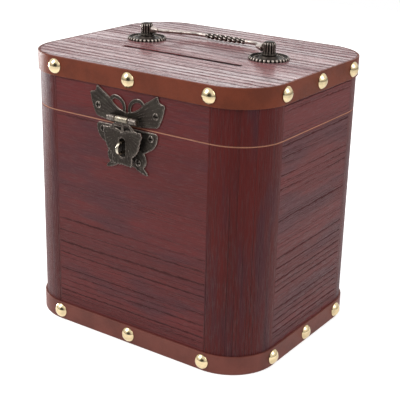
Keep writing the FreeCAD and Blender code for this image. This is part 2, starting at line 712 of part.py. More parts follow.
def export_carcass():
    """The wooden pieces of the box and of the lid."""
    body_range = (BOARD_THICKNESS, SEAM_HEIGHT)
    lid_range = (SEAM_HEIGHT + LID_GAP, UPPER_BOARD_BOTTOM)
    body_ring = wall_ring(*body_range, SEAM_HEIGHT)
    lid_ring = wall_ring(*lid_range, SEAM_HEIGHT + LID_GAP)
    for side, outward in SIDES.items():
        export(f"{side}_panel", wall_panel(body_ring, outward, *body_range))
        export(f"lid_{side}_rail", wall_panel(lid_ring, outward, *lid_range))
    for corner in CORNERS:
        export(f"{corner}_post", corner_post(body_ring, corner, *body_range))
        export(f"lid_{corner}_corner", corner_post(lid_ring, corner, *lid_range))
    export("bottom_board", bottom_board())
    export("top_board", top_board())


def export_bands():
    """The bands and their dome nails."""
    for name, at_top in (("bottom", False), ("top", True)):
        export(f"{name}_band", band(at_top))
        export(f"{name}_band_studs", band_studs(at_top))


def export_hinges():
    """The two butt hinges and their screws."""
    for name, side_sign in (("left", -1), ("right", 1)):
        place = hinge_origin(side_sign)
        export(f"{name}_hinge_lower_leaf", moved(hinge_leaf(-1), place))
        export(f"{name}_hinge_upper_leaf", moved(hinge_leaf(1), place))
        export(f"{name}_hinge_pin", moved(hinge_pin(), place))
    export("hinge_lower_screws", hinge_screws(-1))
    export("hinge_upper_screws", hinge_screws(1))


def export_hasp():
    """The butterfly hasp."""
    export("hasp_upper_plate", hasp_upper_plate())
    export("hasp_upper_screws", hasp_screws([UPPER_WING_SCREW]))
    export("hasp_pin", hasp_pin())
    export("hasp_flap", hasp_flap())
    export("hasp_lower_plate", hasp_lower_plate())
    export("hasp_lower_screws", hasp_screws([LOWER_WING_SCREW, LOWER_FOOT_SCREW]))
    export("hasp_staple", staple_wire(STAPLE_WIRE_RADIUS))


def export_handle():
    """The handle and what holds it."""
    for name, place, inward in zip(("left", "right"), handle_places(), (X_AXIS, -X_AXIS)):
        export(f"{name}_rosette", moved(rosette(), place))
        export(f"{name}_handle_post", moved(handle_post(inward), place))
    export("handle_screws", handle_screws())
    export("handle_bail", handle_bail())


os.makedirs("parts", exist_ok=True)
export_carcass()
export_bands()
export_hinges()
export_hasp()
export_handle()
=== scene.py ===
import json
import math

import bmesh
import bpy
import numpy as np
from bpy.props import FloatProperty, FloatVectorProperty, IntProperty, PointerProperty
from mathutils import Matrix, Vector


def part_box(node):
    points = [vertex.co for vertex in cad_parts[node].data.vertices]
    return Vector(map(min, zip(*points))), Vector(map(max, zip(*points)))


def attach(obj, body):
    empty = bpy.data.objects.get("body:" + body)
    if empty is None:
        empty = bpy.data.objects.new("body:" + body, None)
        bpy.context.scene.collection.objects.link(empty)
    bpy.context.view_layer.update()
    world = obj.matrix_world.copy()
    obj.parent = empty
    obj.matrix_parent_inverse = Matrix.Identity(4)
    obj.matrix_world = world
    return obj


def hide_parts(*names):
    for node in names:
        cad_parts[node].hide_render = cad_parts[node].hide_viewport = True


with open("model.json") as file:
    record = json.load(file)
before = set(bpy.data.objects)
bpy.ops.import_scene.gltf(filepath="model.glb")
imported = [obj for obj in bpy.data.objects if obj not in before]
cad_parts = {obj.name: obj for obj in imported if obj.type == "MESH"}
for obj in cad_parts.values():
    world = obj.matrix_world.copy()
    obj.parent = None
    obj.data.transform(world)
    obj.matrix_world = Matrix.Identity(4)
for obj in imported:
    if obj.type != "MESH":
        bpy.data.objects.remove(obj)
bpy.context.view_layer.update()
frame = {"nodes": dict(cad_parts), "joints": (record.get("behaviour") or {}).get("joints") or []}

bl_info = {
    "name": "Wooden money box",
    "version": (1, 0, 0),
    "blender": (4, 5, 0),
    "location": "3D View > Sidebar > Money box",
    "description": "Dresses a money box with combed wood, studded bands, a butterfly hasp and a bail handle",
    "category": "Object",
}

MM = 0.001


def middle_of(node):
    """The X, Y and Z of the middle of a CAD node's box."""
    return [(low + high) / 2 for low, high in zip(*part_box(node))]


# Places read from the frame
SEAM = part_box("front_panel")[1].z
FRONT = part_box("front_panel")[0].y
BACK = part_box("back_panel")[1].y
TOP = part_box("top_board")[1].z
HALF_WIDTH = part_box("right_panel")[1].x
HALF_DEPTH = -FRONT
CORNER_RADIUS = HALF_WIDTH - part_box("front_right_post")[0].x
HASP_MIDDLE = middle_of("hasp_lower_plate")[0]
PIVOTS = {joint["name"]: Vector(joint["pos_m"]) for joint in frame["joints"]}
CORNERS = ("front_left", "front_right", "back_left", "back_right")

# Right halves of the hasp's outlines, in millimetres across from its middle and up from the seam:
# a pair of points is an arc through the first
UPPER_WING = [
    (2.6, 8.7), [(7.6, 10.8), (12.2, 15.0)], (20.9, 20.5), [(22.1, 21.0), (22.7, 19.9)],
    [(23.0, 18.5), (24.2, 17.4)], (26.4, 16.8), [(27.4, 16.1), (27.1, 14.9)], [(26.1, 10.2), (24.2, 5.6)],
    [(23.2, 3.7), (21.6, 2.4)], (10.6, 0.9), (0.2, 0.9), (0.2, 8.2), (2.6, 8.7),
]
UPPER_WING_MIDDLE = (14.0, 8.4)
FEELER = [(2.0, 8.6), [(4.0, 14.7), (7.6, 16.3)], [(9.9, 16.1), (11.6, 14.4)]]
LOWER_PLATE = [
    (0.0, -0.9), (20.2, -0.9), [(21.9, -1.5), (22.4, -3.4)], [(20.9, -8.6), (16.7, -12.2)], (12.7, -14.8),
    [(14.5, -19.2), (12.3, -23.7)], [(13.5, -25.4), (15.3, -26.4)], [(15.5, -27.2), (14.6, -27.6)],
    [(10.6, -26.6), (6.0, -24.1)], (0.0, -23.6),
]
LOWER_PLATE_MIDDLE = (0.0, -14.0)
FLAP = [
    (0.0, -2.6), [(5.5, -0.9), (11.4, -0.8)], [(13.8, -1.6), (14.4, -3.4)], [(13.4, -6.6), (12.7, -9.6)],
    [(11.0, -13.8), (7.2, -17.2)], [(7.6, -20.2), (6.8, -23.0)], (0.0, -22.6),
]
FLAP_MIDDLE = (0.0, -12.0)
FLAP_SLOT = [(0.0, -6.2), [(1.7, -6.9), (2.4, -8.6)], (2.4, -15.4), [(1.7, -17.1), (0.0, -17.8)]]
NECK = [
    (0.0, 3.4), (4.6, 3.4), (4.6, 2.4), [(7.0, 1.3), (8.6, -1.0)], (8.6, -2.2), (0.0, -3.0), (0.0, 3.4),
]
NECK_MIDDLE = (3.2, -0.1)
NECK_OPENING = [
    (0.9, 1.3), (3.6, 1.3), [(5.4, 0.5), (6.2, -0.7)], [(3.4, -1.2), (0.9, -2.1)], (0.9, 1.3),
]
UPPER_SCREWS = [(21.2, 9.4)]
LOWER_SCREWS = [(17.8, -4.5), (8.6, -20.6)]

# A screw head's radius and rise, in millimetres
SCREW = (2.1, 0.7)

# The barrel's patina, rubbed metal and gloss, and the staple's brass
BARREL = ((0.13, 0.111, 0.086), (0.46, 0.4, 0.315), 0.26)
STAPLE = (0.64, 0.58, 0.47)

# The gloss of the other bronze pieces
GLOSS = 0.34

# The stampings' raised rim, in millimetres: how far in from the edge it runs, its width and its rise
RIM_IN, RIM_WIDTH, RIM_RISE = 0.75, 0.3, 0.16
SCALLOPS = 36

# Distances in metres under which points are one point, and under which a face has no area
ONE_POINT, NO_AREA = 1e-7, 1e-8

# The middle of the reflected horizon's dark patch, and each lamp's place, aim, size and share of the power
DUSK = (0.2, -0.96, 0.18)
LAMPS = {
    "key": ((-0.55, -0.75, 0.95), (0, 0, 0.08), 0.7, 1.0),
    "side": ((0.8, 0.0, 0.75), (0, 0, 0.08), 0.6, 0.4),
    "edge": ((-0.8, 0.05, 0.085), (0, 0, 0.08), 0.15, 0.3),
    "back": ((-0.68, 1.12, 0.36), (0, 0, TOP), 0.8, 0.165),
}


# Shapes

def surface(name, grids, smooth_angle=math.radians(40)):
    """One mesh from grids, each (points, wrap_rows, wrap_columns, levels): wear, painted shade and highlight
    per point.
    """
    vertices, faces, wear_and_shade = [], [], []
    start = 0
    for points, wrap_rows, wrap_columns, wear_and_shade_levels in grids:
        rows, columns = points.shape[:2]
        index = np.arange(rows * columns).reshape(rows, columns) + start
        if wrap_rows:
            index = np.vstack([index, index[:1]])
        if wrap_columns:
            index = np.hstack([index, index[:, :1]])
        quads = np.stack([index[:-1, :-1], index[1:, :-1], index[1:, 1:], index[:-1, 1:]], axis=-1)
        vertices.append(points.reshape(-1, 3))
        faces.append(quads.reshape(-1, 4))
        wear_and_shade.append(np.broadcast_to(wear_and_shade_levels, (rows, columns)).ravel())
        start += rows * columns
    mesh = bpy.data.meshes.new(name)
    mesh.from_pydata(np.vstack(vertices), [], np.vstack(faces).tolist())
    # Each point's level is wear, with painted shade below zero and, in places, painted highlight.
    values = mesh.attributes.new("wear_and_shade", "FLOAT", "POINT").data
    values.foreach_set("value", np.hstack(wear_and_shade).astype(np.float32))
    shell = bmesh.new()
    shell.from_mesh(mesh)
    bmesh.ops.remove_doubles(shell, verts=shell.verts, dist=ONE_POINT)
    bmesh.ops.dissolve_degenerate(shell, edges=shell.edges, dist=NO_AREA)
    bmesh.ops.recalc_face_normals(shell, faces=shell.faces)
    shell.to_mesh(mesh)
    shell.free()
    mesh.shade_smooth()
    mesh.set_sharp_from_angle(angle=smooth_angle)
    piece = bpy.data.objects.new(name, mesh)
    bpy.context.scene.collection.objects.link(piece)
    return piece


def stand_for(name, grids, body, slot, material, *nodes):
    """A new piece made of grids, with its material, that rides on a body in place of CAD nodes."""
    piece = surface(name, grids)
    piece.data.materials.append(material)
    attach(piece, body)
    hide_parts(*nodes)


def dress(material, *nodes):
    """Give CAD nodes a better material."""
    for node in nodes:
        slots = frame["nodes"][node].data.materials
        slots.clear()
        slots.append(material)


def arc(first, via, last, count):
    """Points on the circle through three points, from the first to the last by way of the middle one."""
    a, b, c = (np.array(point, float) for point in (first, via, last))
    along, across = b - a, c - a
    twice = 2 * (along[0] * across[1] - along[1] * across[0])
    centre = a + np.array([
        across[1] * along.dot(along) - along[1] * across.dot(across),
        along[0] * across.dot(across) - across[0] * along.dot(along),
    ]) / twice
    angles = np.unwrap([math.atan2(*(point - centre)[::-1]) for point in (a, b, c)])
    if abs(angles[2] - angles[0]) < abs(angles[1] - angles[0]):
        angles[2] += math.tau * np.sign(angles[1] - angles[0])
    turn = np.linspace(angles[0], angles[2], count)
    radius = np.linalg.norm(a - centre)
    return centre + radius * np.stack([np.cos(turn), np.sin(turn)], axis=1)


def outline_points(outline, count=24):
    """Dense points along an outline of straight runs and arcs."""
    place = outline[0]
    runs = [np.array([place], float)]
    for entry in outline[1:]:
        if isinstance(entry, list):
            runs.append(arc(place, entry[0], entry[1], count)[1:])
            place = entry[1]
        else:
            runs.append(np.linspace(place, entry, count)[1:])
            place = entry
    return np.vstack(runs)


def whole_outline(half):
    """A closed outline from its right half and the mirror image of that."""
    right = outline_points(half)
    return np.vstack([right, right[::-1] * (-1, 1)])


def radius_about(points, centre, angles):
    """The distance from a centre to an outline, as a function of the angle about that centre."""
    offset = points - np.array(centre)
    turn = np.arctan2(offset[:, 1], offset[:, 0])
    order = np.argsort(turn)
    return np.interp(angles, turn[order], np.hypot(*offset.T)[order], period=math.tau)


def stamped_plate(outline, centre, thickness, relief, hole=None, columns=240, rows=44, scallop=0.0):
    """A stamping about a centre, in millimetres (across, up, out).

    Each column is a ray from the hole, or from the centre, to the outline. The face stands a thickness
    high, falls away in a quarter round at its edges, carries a low raised rim a little way in, and gets
    the relief, a function of the place across and up and of the distance from the edge. Without a hole, all
    columns meet at the centre in one point, at their mean height. The scallop is the depth of the small
    waves cut into the outline.
    """
    angles = np.linspace(-math.pi, math.pi, columns, endpoint=False)
    outer = radius_about(outline, centre, angles) - scallop * (0.5 - 0.5 * np.cos(SCALLOPS * angles))
    if hole is None:
        inner = np.zeros(columns)
        bend = np.sin(np.linspace(0, math.pi / 2, rows))
    else:
        inner = radius_about(hole, centre, angles)
        bend = (1 - np.cos(np.linspace(0, math.pi, rows))) / 2
    reach = inner + (outer - inner) * bend[:, None]
    slope = np.gradient(outer, angles)
    lean = outer / np.hypot(outer, slope)
    edge = (outer - reach) * lean
    if hole is not None:
        edge = np.minimum(edge, reach - inner)
    rounding = 0.35 * thickness
    fall = rounding - np.sqrt(np.maximum(rounding ** 2 - np.maximum(rounding - edge, 0) ** 2, 0))
    rim = np.exp(-((edge - RIM_IN) / RIM_WIDTH) ** 2)
    across = centre[0] + reach * np.cos(angles)
    up = centre[1] + reach * np.sin(angles)
    carved = relief(across, up, edge) * np.clip((edge - 1.0) / 0.8, 0, 1)
    height = thickness - fall + RIM_RISE * rim + carved
    if hole is None:
        height[0] = height[0].mean()
    front = np.stack([across, up, height], axis=-1)
    back = np.stack([across, up, np.zeros_like(reach)], axis=-1)[::-1]
    # Edges and the raised rim are rubbed bright; the relief's crests are lighter, partly wear and partly
    # painted glints, and its hollows fall below zero for painted shade.
    wear_and_shade_levels = np.clip(0.14 + 0.4 * rim + 0.8 * np.exp(-(edge / 0.24) ** 2) + 2.6 * carved, -0.45, 1)
    return np.vstack([front, back]), hole is not None, True, np.vstack([wear_and_shade_levels, wear_and_shade_levels[::-1]])


def ribbed(source, beside, ribs, reach, start, rise, waves, fade):
    """A relief of ribs that fan out from a source on the hasp's middle, and of lines that follow the edge.

    The ribs are counted by the radian about a point beside the source, and begin at a distance of start times
    reach from it. The lines have a rise, a number of waves and a depth over which they fade.
    """
    def relief(across, up, edge):
        fan = np.arctan2(up - source, np.abs(across) + beside)
        far = np.hypot(across, up - source)
        rays = 0.1 * np.cos(ribs * fan) * np.clip(far / reach - start, 0, 1)
        return rays + rise * np.cos(waves * edge) * np.exp(-edge / fade)

    return relief


def on_front(grid, out):
    """A grid in the hasp's millimetres set on the box's front, its back a distance out from the wood."""
    across, up, height = np.moveaxis(grid[0], -1, 0)
    place = np.stack([HASP_MIDDLE + across * MM, FRONT - (height + out) * MM, SEAM + up * MM], axis=-1)
    return (place, *grid[1:])


def mirrored(grid):
    """The mirror image of a grid in the hasp's millimetres."""
    return (grid[0] * (-1, 1, 1), *grid[1:])


def round_angles(columns):
    """Even angles once round."""
    return np.linspace(0, math.tau, columns, endpoint=False)


def tube(path, wide, thick, normal, columns=20, wear_and_shade=0.0, crest=None):
    """A round or oval section carried along a flat path: wide in the path's plane, thick along its normal.

    The crest, where given, sets the wear by the angle round the section.
    """
    normal = np.array(normal, float)
    along = np.gradient(path, axis=0)
    along /= np.linalg.norm(along, axis=1)[:, None]
    side = np.cross(along, normal)
    turn = round_angles(columns)
    wide = np.broadcast_to(wide, len(path))[:, None, None]
    thick = np.broadcast_to(thick, len(path))[:, None, None]
    ring = side[:, None] * np.cos(turn)[:, None] * wide + normal * np.sin(turn)[:, None] * thick
    skin = path[:, None] + ring
    caps = [np.repeat(path[end][None, None], columns, axis=1) for end in (0, -1)]
    wear_and_shade_levels = np.asarray(wear_and_shade, float).reshape(-1, 1) + np.zeros((len(path), columns))
    if crest is not None:
        wear_and_shade_levels = wear_and_shade_levels + crest(turn)
    wear_and_shade_levels = np.vstack([wear_and_shade_levels[:1], wear_and_shade_levels, wear_and_shade_levels[-1:]])
    return np.vstack([caps[0], skin, caps[1]]), False, True, wear_and_shade_levels


def lathe(radius, height, columns, swell=None, wear_and_shade=0.0, crest=None, lift=None):
    """A profile of radii and heights turned about +Z.

    The swell adds to the radius and the lift to the height, each by angle, height and radius, and the crest
    scales the wear by angle.
    """
    turn = round_angles(columns)
    rise = np.asarray(height, float)[:, None] + np.zeros(columns)
    reach = np.asarray(radius, float)[:, None] + np.zeros(columns)
    if lift is not None:
        rise = rise + lift(turn[None, :], rise, reach)
    if swell is not None:
        reach = reach + swell(turn[None, :], rise, reach)
    points = np.stack([reach * np.cos(turn), reach * np.sin(turn), rise], axis=-1)
    wear_and_shade_levels = np.asarray(wear_and_shade, float).reshape(-1, 1) + np.zeros(reach.shape)
    if crest is not None:
        wear_and_shade_levels = wear_and_shade_levels * crest(turn)
    return points, False, True, wear_and_shade_levels


def placed(grid, place, outward):
    """A grid in millimetres that points along +Z, set at a place in metres and turned to point outward."""
    turn = np.array(Vector((0, 0, 1)).rotation_difference(Vector(outward)).to_matrix())
    return (grid[0] * MM @ turn.T + np.array(place), *grid[1:])


def dome_nail(radius, rise):
    """A dome nail's head: a ball's cap with a short upright rim and a hollow-looking turned-in foot."""
    ball = (radius ** 2 + rise ** 2) / (2 * rise)
    angle = np.linspace(0, math.asin(radius / ball), 22)
    reach = np.r_[ball * np.sin(angle), radius, radius * 0.93, 0]
    height = np.r_[rise - ball + ball * np.cos(angle), -0.25, -0.3, -0.3]
    return lathe(reach, height + 0.3, 48)


def screw_head(radius, rise):
    """A domed screw head: two crossed slots sunk into a low dome, set below zero to paint them near-black
    shade.
    """
    columns = 72
    share = np.r_[0, np.linspace(0.06, 1, 24)][:, None]
    turn = round_angles(columns)
    across, up = radius * share * np.cos(turn), radius * share * np.sin(turn)
    slot = 0.15 * radius
    arm = 0.74 * radius
    upright = np.maximum(np.abs(across) / slot, np.abs(up) / arm)
    level = np.maximum(np.abs(up) / slot, np.abs(across) / arm)
    recess = np.clip((1.25 - np.minimum(upright, level)) / 0.4, 0, 1)
    height = rise * (1 - share ** 2) + 0.15 - 0.75 * rise * recess
    top = np.stack([across, up, np.maximum(height, 0.05)], axis=-1)
    foot = np.stack([across[-1:], up[-1:], np.zeros((1, columns))], axis=-1)
    base = np.zeros((1, columns, 3))
    # Painted shade: the slots sit far below zero, so the metal there turns near black.
    wear_and_shade_levels = 0.5 + 0.2 * np.exp(-((share - 0.9) / 0.12) ** 2) - 1.3 * recess
    return np.vstack([top, foot, base]), False, True, np.vstack([wear_and_shade_levels, np.zeros((2, columns))])


# Materials

def give(node, inputs):
    """Set a node's inputs from a list or dict of values, or link them where a value is a socket."""
    entries = inputs.items() if isinstance(inputs, dict) else enumerate(inputs)
    for key, value in entries:
        if isinstance(value, bpy.types.NodeSocket):
            node.id_data.links.new(value, node.inputs[key])
        else:
            node.inputs[key].default_value = value


def add(tree, kind, **settings):
    """Add a node: a keyword is a property, and inputs are its inputs."""
    node = tree.nodes.new(kind)
    inputs = settings.pop("inputs", {})
    for key, value in settings.items():
        setattr(node, key, value)
    give(node, inputs)
    return node


def tree_of(values):
    """The node tree that the first socket among some values belongs to."""
    return next(value.id_data for value in values if isinstance(value, bpy.types.NodeSocket))


def maths(operation, *values, clamp=False):
    """The result of a math node."""
    node = add(tree_of(values), "ShaderNodeMath", operation=operation, use_clamp=clamp, inputs=values)
    return node.outputs[0]


def vector_maths(operation, *values):
    """The result of a vector math node: a number for a length or a dot product, or else a vector."""
    node = add(tree_of(values), "ShaderNodeVectorMath", operation=operation, inputs=values)
    return node.outputs["Value" if operation in ("LENGTH", "DOT_PRODUCT") else "Vector"]


def split(vector):
    """The X, Y and Z of a vector."""
    return add(vector.id_data, "ShaderNodeSeparateXYZ", inputs=[vector]).outputs


def joined(*values):
    """A vector from its X, Y and Z."""
    return add(tree_of(values), "ShaderNodeCombineXYZ", inputs=values).outputs[0]


def product(first, second, clamp=False):
    """Two values multiplied."""
    return maths("MULTIPLY", first, second, clamp=clamp)


def scaled(value, scale, plus, clamp=False):
    """A value times a scale, plus another value."""
    return maths("MULTIPLY_ADD", value, scale, plus, clamp=clamp)


def ramp(value, low, high, start=0.0, end=1.0):
    """A value carried smoothly from one range to another."""
    inputs = {"Value": value, "From Min": low, "From Max": high, "To Min": start, "To Max": end}
    node = add(value.id_data, "ShaderNodeMapRange", interpolation_type="SMOOTHSTEP", inputs=inputs)
    return node.outputs["Result"]


def blend(share, first, second):
    """A mix of two colours, each a socket or a colour without its alpha."""
    inputs = {0: share, 6: first, 7: second}
    for key in (6, 7):
        if not isinstance(inputs[key], bpy.types.NodeSocket):
            inputs[key] = (*inputs[key], 1.0)
    return add(share.id_data, "ShaderNodeMix", data_type="RGBA", inputs=inputs).outputs[2]


def noise(vector, scale, detail=3.0, roughness=0.5):
    """The value of a noise texture: its scale is one number, or one for each axis."""
    if isinstance(scale, tuple):
        vector, scale = vector_maths("MULTIPLY", vector, scale), 1.0
    inputs = {"Vector": vector, "Scale": scale, "Detail": detail, "Roughness": roughness}
    return add(vector.id_data, "ShaderNodeTexNoise", inputs=inputs).outputs["Fac"]


def group(name, inputs, outputs):
    """A new shader node group: the sockets it is given, and the node that takes its float outputs."""
    tree = bpy.data.node_groups.new(name, "ShaderNodeTree")
    for label, kind, default in inputs:
        socket = tree.interface.new_socket(label, in_out="INPUT", socket_type=kind)
        if default is not None:
            socket.default_value = default
    for label in outputs:
        tree.interface.new_socket(label, in_out="OUTPUT", socket_type="NodeSocketFloat")
    return tree.nodes.new("NodeGroupInput").outputs, tree.nodes.new("NodeGroupOutput")


def combed_grain_group():
    """Grooves combed along X: lines across Y that wander and fray, each with its own width and breaks.

    A coarse set and a set three times finer are laid over each other, with light flecks, fibres and slow
    changes of tone and of the stain's cast.
    """
    given, result = group("Combed grain", [
        ("Vector", "NodeSocketVector", None),
        ("Spacing", "NodeSocketFloat", 0.005),
        ("Cover", "NodeSocketFloat", 0.5),
        ("Wander", "NodeSocketFloat", 1.2),
        ("Width", "NodeSocketFloat", 1.0),
    ], ["Groove", "Fleck", "Fibre", "Tone", "Cast"])
    vector = given["Vector"]
    place = split(vector)
    drift = noise(vector, (5, 70, 3), 3.0)
    drift = product(drift, given["Wander"])
    fray = noise(vector, (230, 900, 900), 2.0, 0.6)

    def comb(finer, ragged):
        line = maths("DIVIDE", product(place["Y"], finer), given["Spacing"])
        line = scaled(drift, finer, line)
        line = scaled(fray, ragged, line)
        number = maths("FLOOR", line)
        random = add(number.id_data, "ShaderNodeTexWhiteNoise", noise_dimensions="1D", inputs={"W": number})
        chance = random.outputs["Value"]
        middle = maths("ABSOLUTE", maths("SUBTRACT", maths("FRACT", line), 0.5))
        width = product(scaled(chance, 0.16, 0.05), given["Width"])
        near = maths("POWER", maths("DIVIDE", middle, width, clamp=True), 2.0)
        along = joined(place["X"], product(number, 7.31), finer)
        breaks = noise(along, (12 + 8 * finer, 1, 1), 3.0)
        likely = scaled(chance, 0.4, scaled(breaks, 0.6, 0.11))
        limit = maths("SUBTRACT", 1.1, given["Cover"])
        kept = ramp(likely, limit, maths("ADD", limit, 0.22))
        return product(maths("SUBTRACT", 1.0, near), kept, clamp=True)

    groove = maths("MAXIMUM", comb(1.0, 0.5), product(comb(3.0, 1.2), 0.6))
    fleck = ramp(noise(vector, (150, 900, 900), 3.0, 0.6), 0.48, 0.68)
    fibre = noise(vector, (45, 2600, 2600), 3.0, 0.6)
    tone = noise(vector, (5, 42, 42), 6.0, 0.72)
    cast = noise(vector, (11, 48, 48), 3.0, 0.6)
    give(result, {"Groove": groove, "Fleck": fleck, "Fibre": fibre, "Tone": tone, "Cast": cast})


def skin_depth_group():
    """How deep a point lies under the outside of the box, by its distance to the rounded plan."""
    given, result = group("Skin depth", [("Vector", "NodeSocketVector", None)], ["Depth"])
    size = (HALF_WIDTH - CORNER_RADIUS, HALF_DEPTH - CORNER_RADIUS, 1.0)
    folded = vector_maths("ABSOLUTE", given["Vector"])
    outside = vector_maths("MAXIMUM", vector_maths("SUBTRACT", folded, size), (0, 0, 0))
    give(result, {"Depth": maths("SUBTRACT", CORNER_RADIUS, vector_maths("LENGTH", outside))})


def worn_metal_group():
    """Rubbed edges with painted highlights, and dirt on cast metal: the wear attribute broken up by noise,
    and pits.
    """
    given, result = group("Worn metal", [
        ("Vector", "NodeSocketVector", None),
        ("Wear", "NodeSocketFloat", 0.0),
    ], ["Rubbed", "Patina", "Pits"])
    blotch = noise(given["Vector"], 900.0, 4.0, 0.65)
    patina = noise(given["Vector"], 160.0, 3.0, 0.5)
    pits = noise(given["Vector"], 2600.0, 2.0, 0.6)
    uneven = product(maths("SUBTRACT", blotch, 0.5), 1.1)
    rubbed = ramp(maths("ADD", given["Wear"], uneven), 0.35, 0.95)
    give(result, {"Rubbed": rubbed, "Patina": patina, "Pits": pits})


def shader(name):
    """A new material, its Principled shader and its Object coordinates."""
    material = bpy.data.materials.new(name)
    material.use_nodes = True
    tree = material.node_tree
    principled = tree.nodes["Principled BSDF"]
    coordinates = tree.nodes.new("ShaderNodeTexCoord").outputs["Object"]
    return material, principled, coordinates


def use_group(name, **inputs):
    """Place a node group in a material, with its inputs, and give its outputs."""
    tree = tree_of(inputs.values())
    return add(tree, "ShaderNodeGroup", node_tree=bpy.data.node_groups[name], inputs=inputs).outputs


def bump(principled, height, distance):
    """Feed a height to the shader's normal."""
    inputs = {"Height": height, "Distance": distance, "Strength": 1.0}
    node = add(height.id_data, "ShaderNodeBump", inputs=inputs)
    give(principled, {"Normal": node.outputs["Normal"]})


def shade(tint, share):
    """A darker or lighter shade of a colour."""
    return tuple(share * part for part in tint)


def stained_wood(
    name, axes, stain, dark, comb, finish, fleck_sheen, cast=1.0, depth=0.0004, bare_below=None
):
    """Stained, combed wood: its grain runs along the first axis, and it is bare under the outside of the box.

    The axes are those along the grain, across it and through the wood, where C runs round the corners. The
    comb is the share of grooves at the foot and at the top of the box, their spacing and their width, and the
    depth is how deep they are. The finish is the shader's roughness, specular level, coat and sheen. The
    fleck sheen is how strongly the pale flecks show at the foot and at the top: they are partly light grain
    and partly painted sheen, and a stronger share at the foot is a painted reflection of the floor. The cast
    is how strongly the plum patches show.
    """
    settings = bpy.context.scene.money_box_wood
    roughness, specular, coat, sheen = finish
    foot_cover, top_cover, spacing, width = comb
    material, principled, coordinates = shader(name)
    place = dict(zip("XYZ", split(coordinates)))
    if "C" in axes:
        place["C"] = maths("SUBTRACT", *[maths("ABSOLUTE", place[axis]) for axis in "XY"])
    mapped = joined(*[place[axis] for axis in axes])
    share = ramp(place["Z"], 0.2 * TOP, 0.6 * TOP, foot_cover, top_cover)
    grain = use_group("Combed grain", Vector=mapped, Spacing=spacing, Cover=share, Width=width)
    light = tuple(min(1.0, 1.4 * part) for part in stain)
    base = blend(ramp(grain["Tone"], 0.3, 0.7), stain, light)
    red, green, blue = stain
    plum = (0.85 * red, 0.8 * green + 0.06 * cast * red, 0.8 * blue + 0.11 * cast * red)
    base = blend(ramp(grain["Cast"], 0.46, 0.64), base, plum)
    # Painted sheen: the pale flecks are partly light grain and partly painted glare, and where they grow
    # toward the foot they paint the floor's reflection.
    pale_fleck_sheen = tuple(0.6 * part + 0.4 * max(stain) for part in light)
    fleck_and_floor_sheen = ramp(place["Z"], 0.2 * TOP, 0.7 * TOP, *fleck_sheen)
    base = blend(product(grain["Fleck"], fleck_and_floor_sheen, clamp=True), base, pale_fleck_sheen)
    fibre = ramp(grain["Fibre"], 0.42, 0.68)
    base = blend(product(fibre, 0.4), base, dark)
    base = blend(product(grain["Groove"], 0.8), base, dark)
    if bare_below is None:
        bare = ramp(use_group("Skin depth", Vector=coordinates)["Depth"], 0.0002, 0.0003)
    else:
        bare = ramp(place["Z"], bare_below, bare_below - 0.0002)
        # Painted shadow: below the top face, down the coin slot's walls and the board's edges, the wood is
        # darkened to a near-black shade.
        base = blend(ramp(place["Z"], TOP - 0.0002, TOP - 0.0008), base, shade(dark, 0.4))
    pale = blend(product(fibre, 0.5), settings.bare_wood, settings.bare_grain)
    shine = scaled(grain["Fibre"], 0.18, roughness - 0.09)
    shine = scaled(grain["Groove"], 0.4, shine, clamp=True)
    give(principled, {
        "Base Color": blend(bare, base, pale),
        "Roughness": maths("MAXIMUM", shine, product(bare, 0.75)),
        "Specular IOR Level": specular,
        "Sheen Weight": sheen,
        "Sheen Roughness": 0.35,
        "Sheen Tint": (1.0, 0.72, 0.74, 1.0),
    })
    if coat:
        kept = maths("SUBTRACT", 1.0, maths("MAXIMUM", grain["Groove"], bare), clamp=True)
        patchy = ramp(grain["Tone"], 0.36, 0.64, 0.2 * coat, coat)
        glazed = product(kept, patchy)
        give(principled, {"Coat Weight": glazed, "Coat Roughness": 0.2, "Coat IOR": 1.8})
    relief = scaled(grain["Fibre"], 0.2, product(grain["Groove"], -1.0))
    relief = scaled(grain["Fleck"], 0.15, relief)
    bump(principled, relief, depth)
    return material


def band_leather(name, tint):
    """A brown leather-look strip: fine pebbles, a soft sheen and uneven dye."""
    material, principled, coordinates = shader(name)
    dye = noise(coordinates, 60.0, 4.0, 0.6)
    cells = {"Vector": coordinates, "Scale": 1500.0}
    pebble = add(material.node_tree, "ShaderNodeTexVoronoi", feature="SMOOTH_F1", inputs=cells)
    crease = noise(coordinates, 700.0, 3.0, 0.55)
    give(principled, {
        "Base Color": blend(ramp(dye, 0.35, 0.7), tint, shade(tint, 0.72)),
        "Roughness": scaled(crease, 0.25, 0.36),
        "Specular IOR Level": 0.2,
    })
    bump(principled, maths("ADD", pebble.outputs["Distance"], product(crease, 0.6)), 0.00008)
    return material


def polished_brass(name, tint):
    """Polished brass plate with faint smears and a few fine scratches."""
    material, principled, coordinates = shader(name)
    smear = noise(coordinates, 350.0, 3.0, 0.5)
    scratch = noise(coordinates, (3000, 500, 900), 2.0)
    give(principled, {
        "Base Color": blend(ramp(smear, 0.35, 0.75), tint, shade(tint, 0.8)),
        "Metallic": 1.0,
        "Roughness": scaled(smear, 0.14, 0.08),
    })
    bump(principled, scratch, 0.000008)
    return material


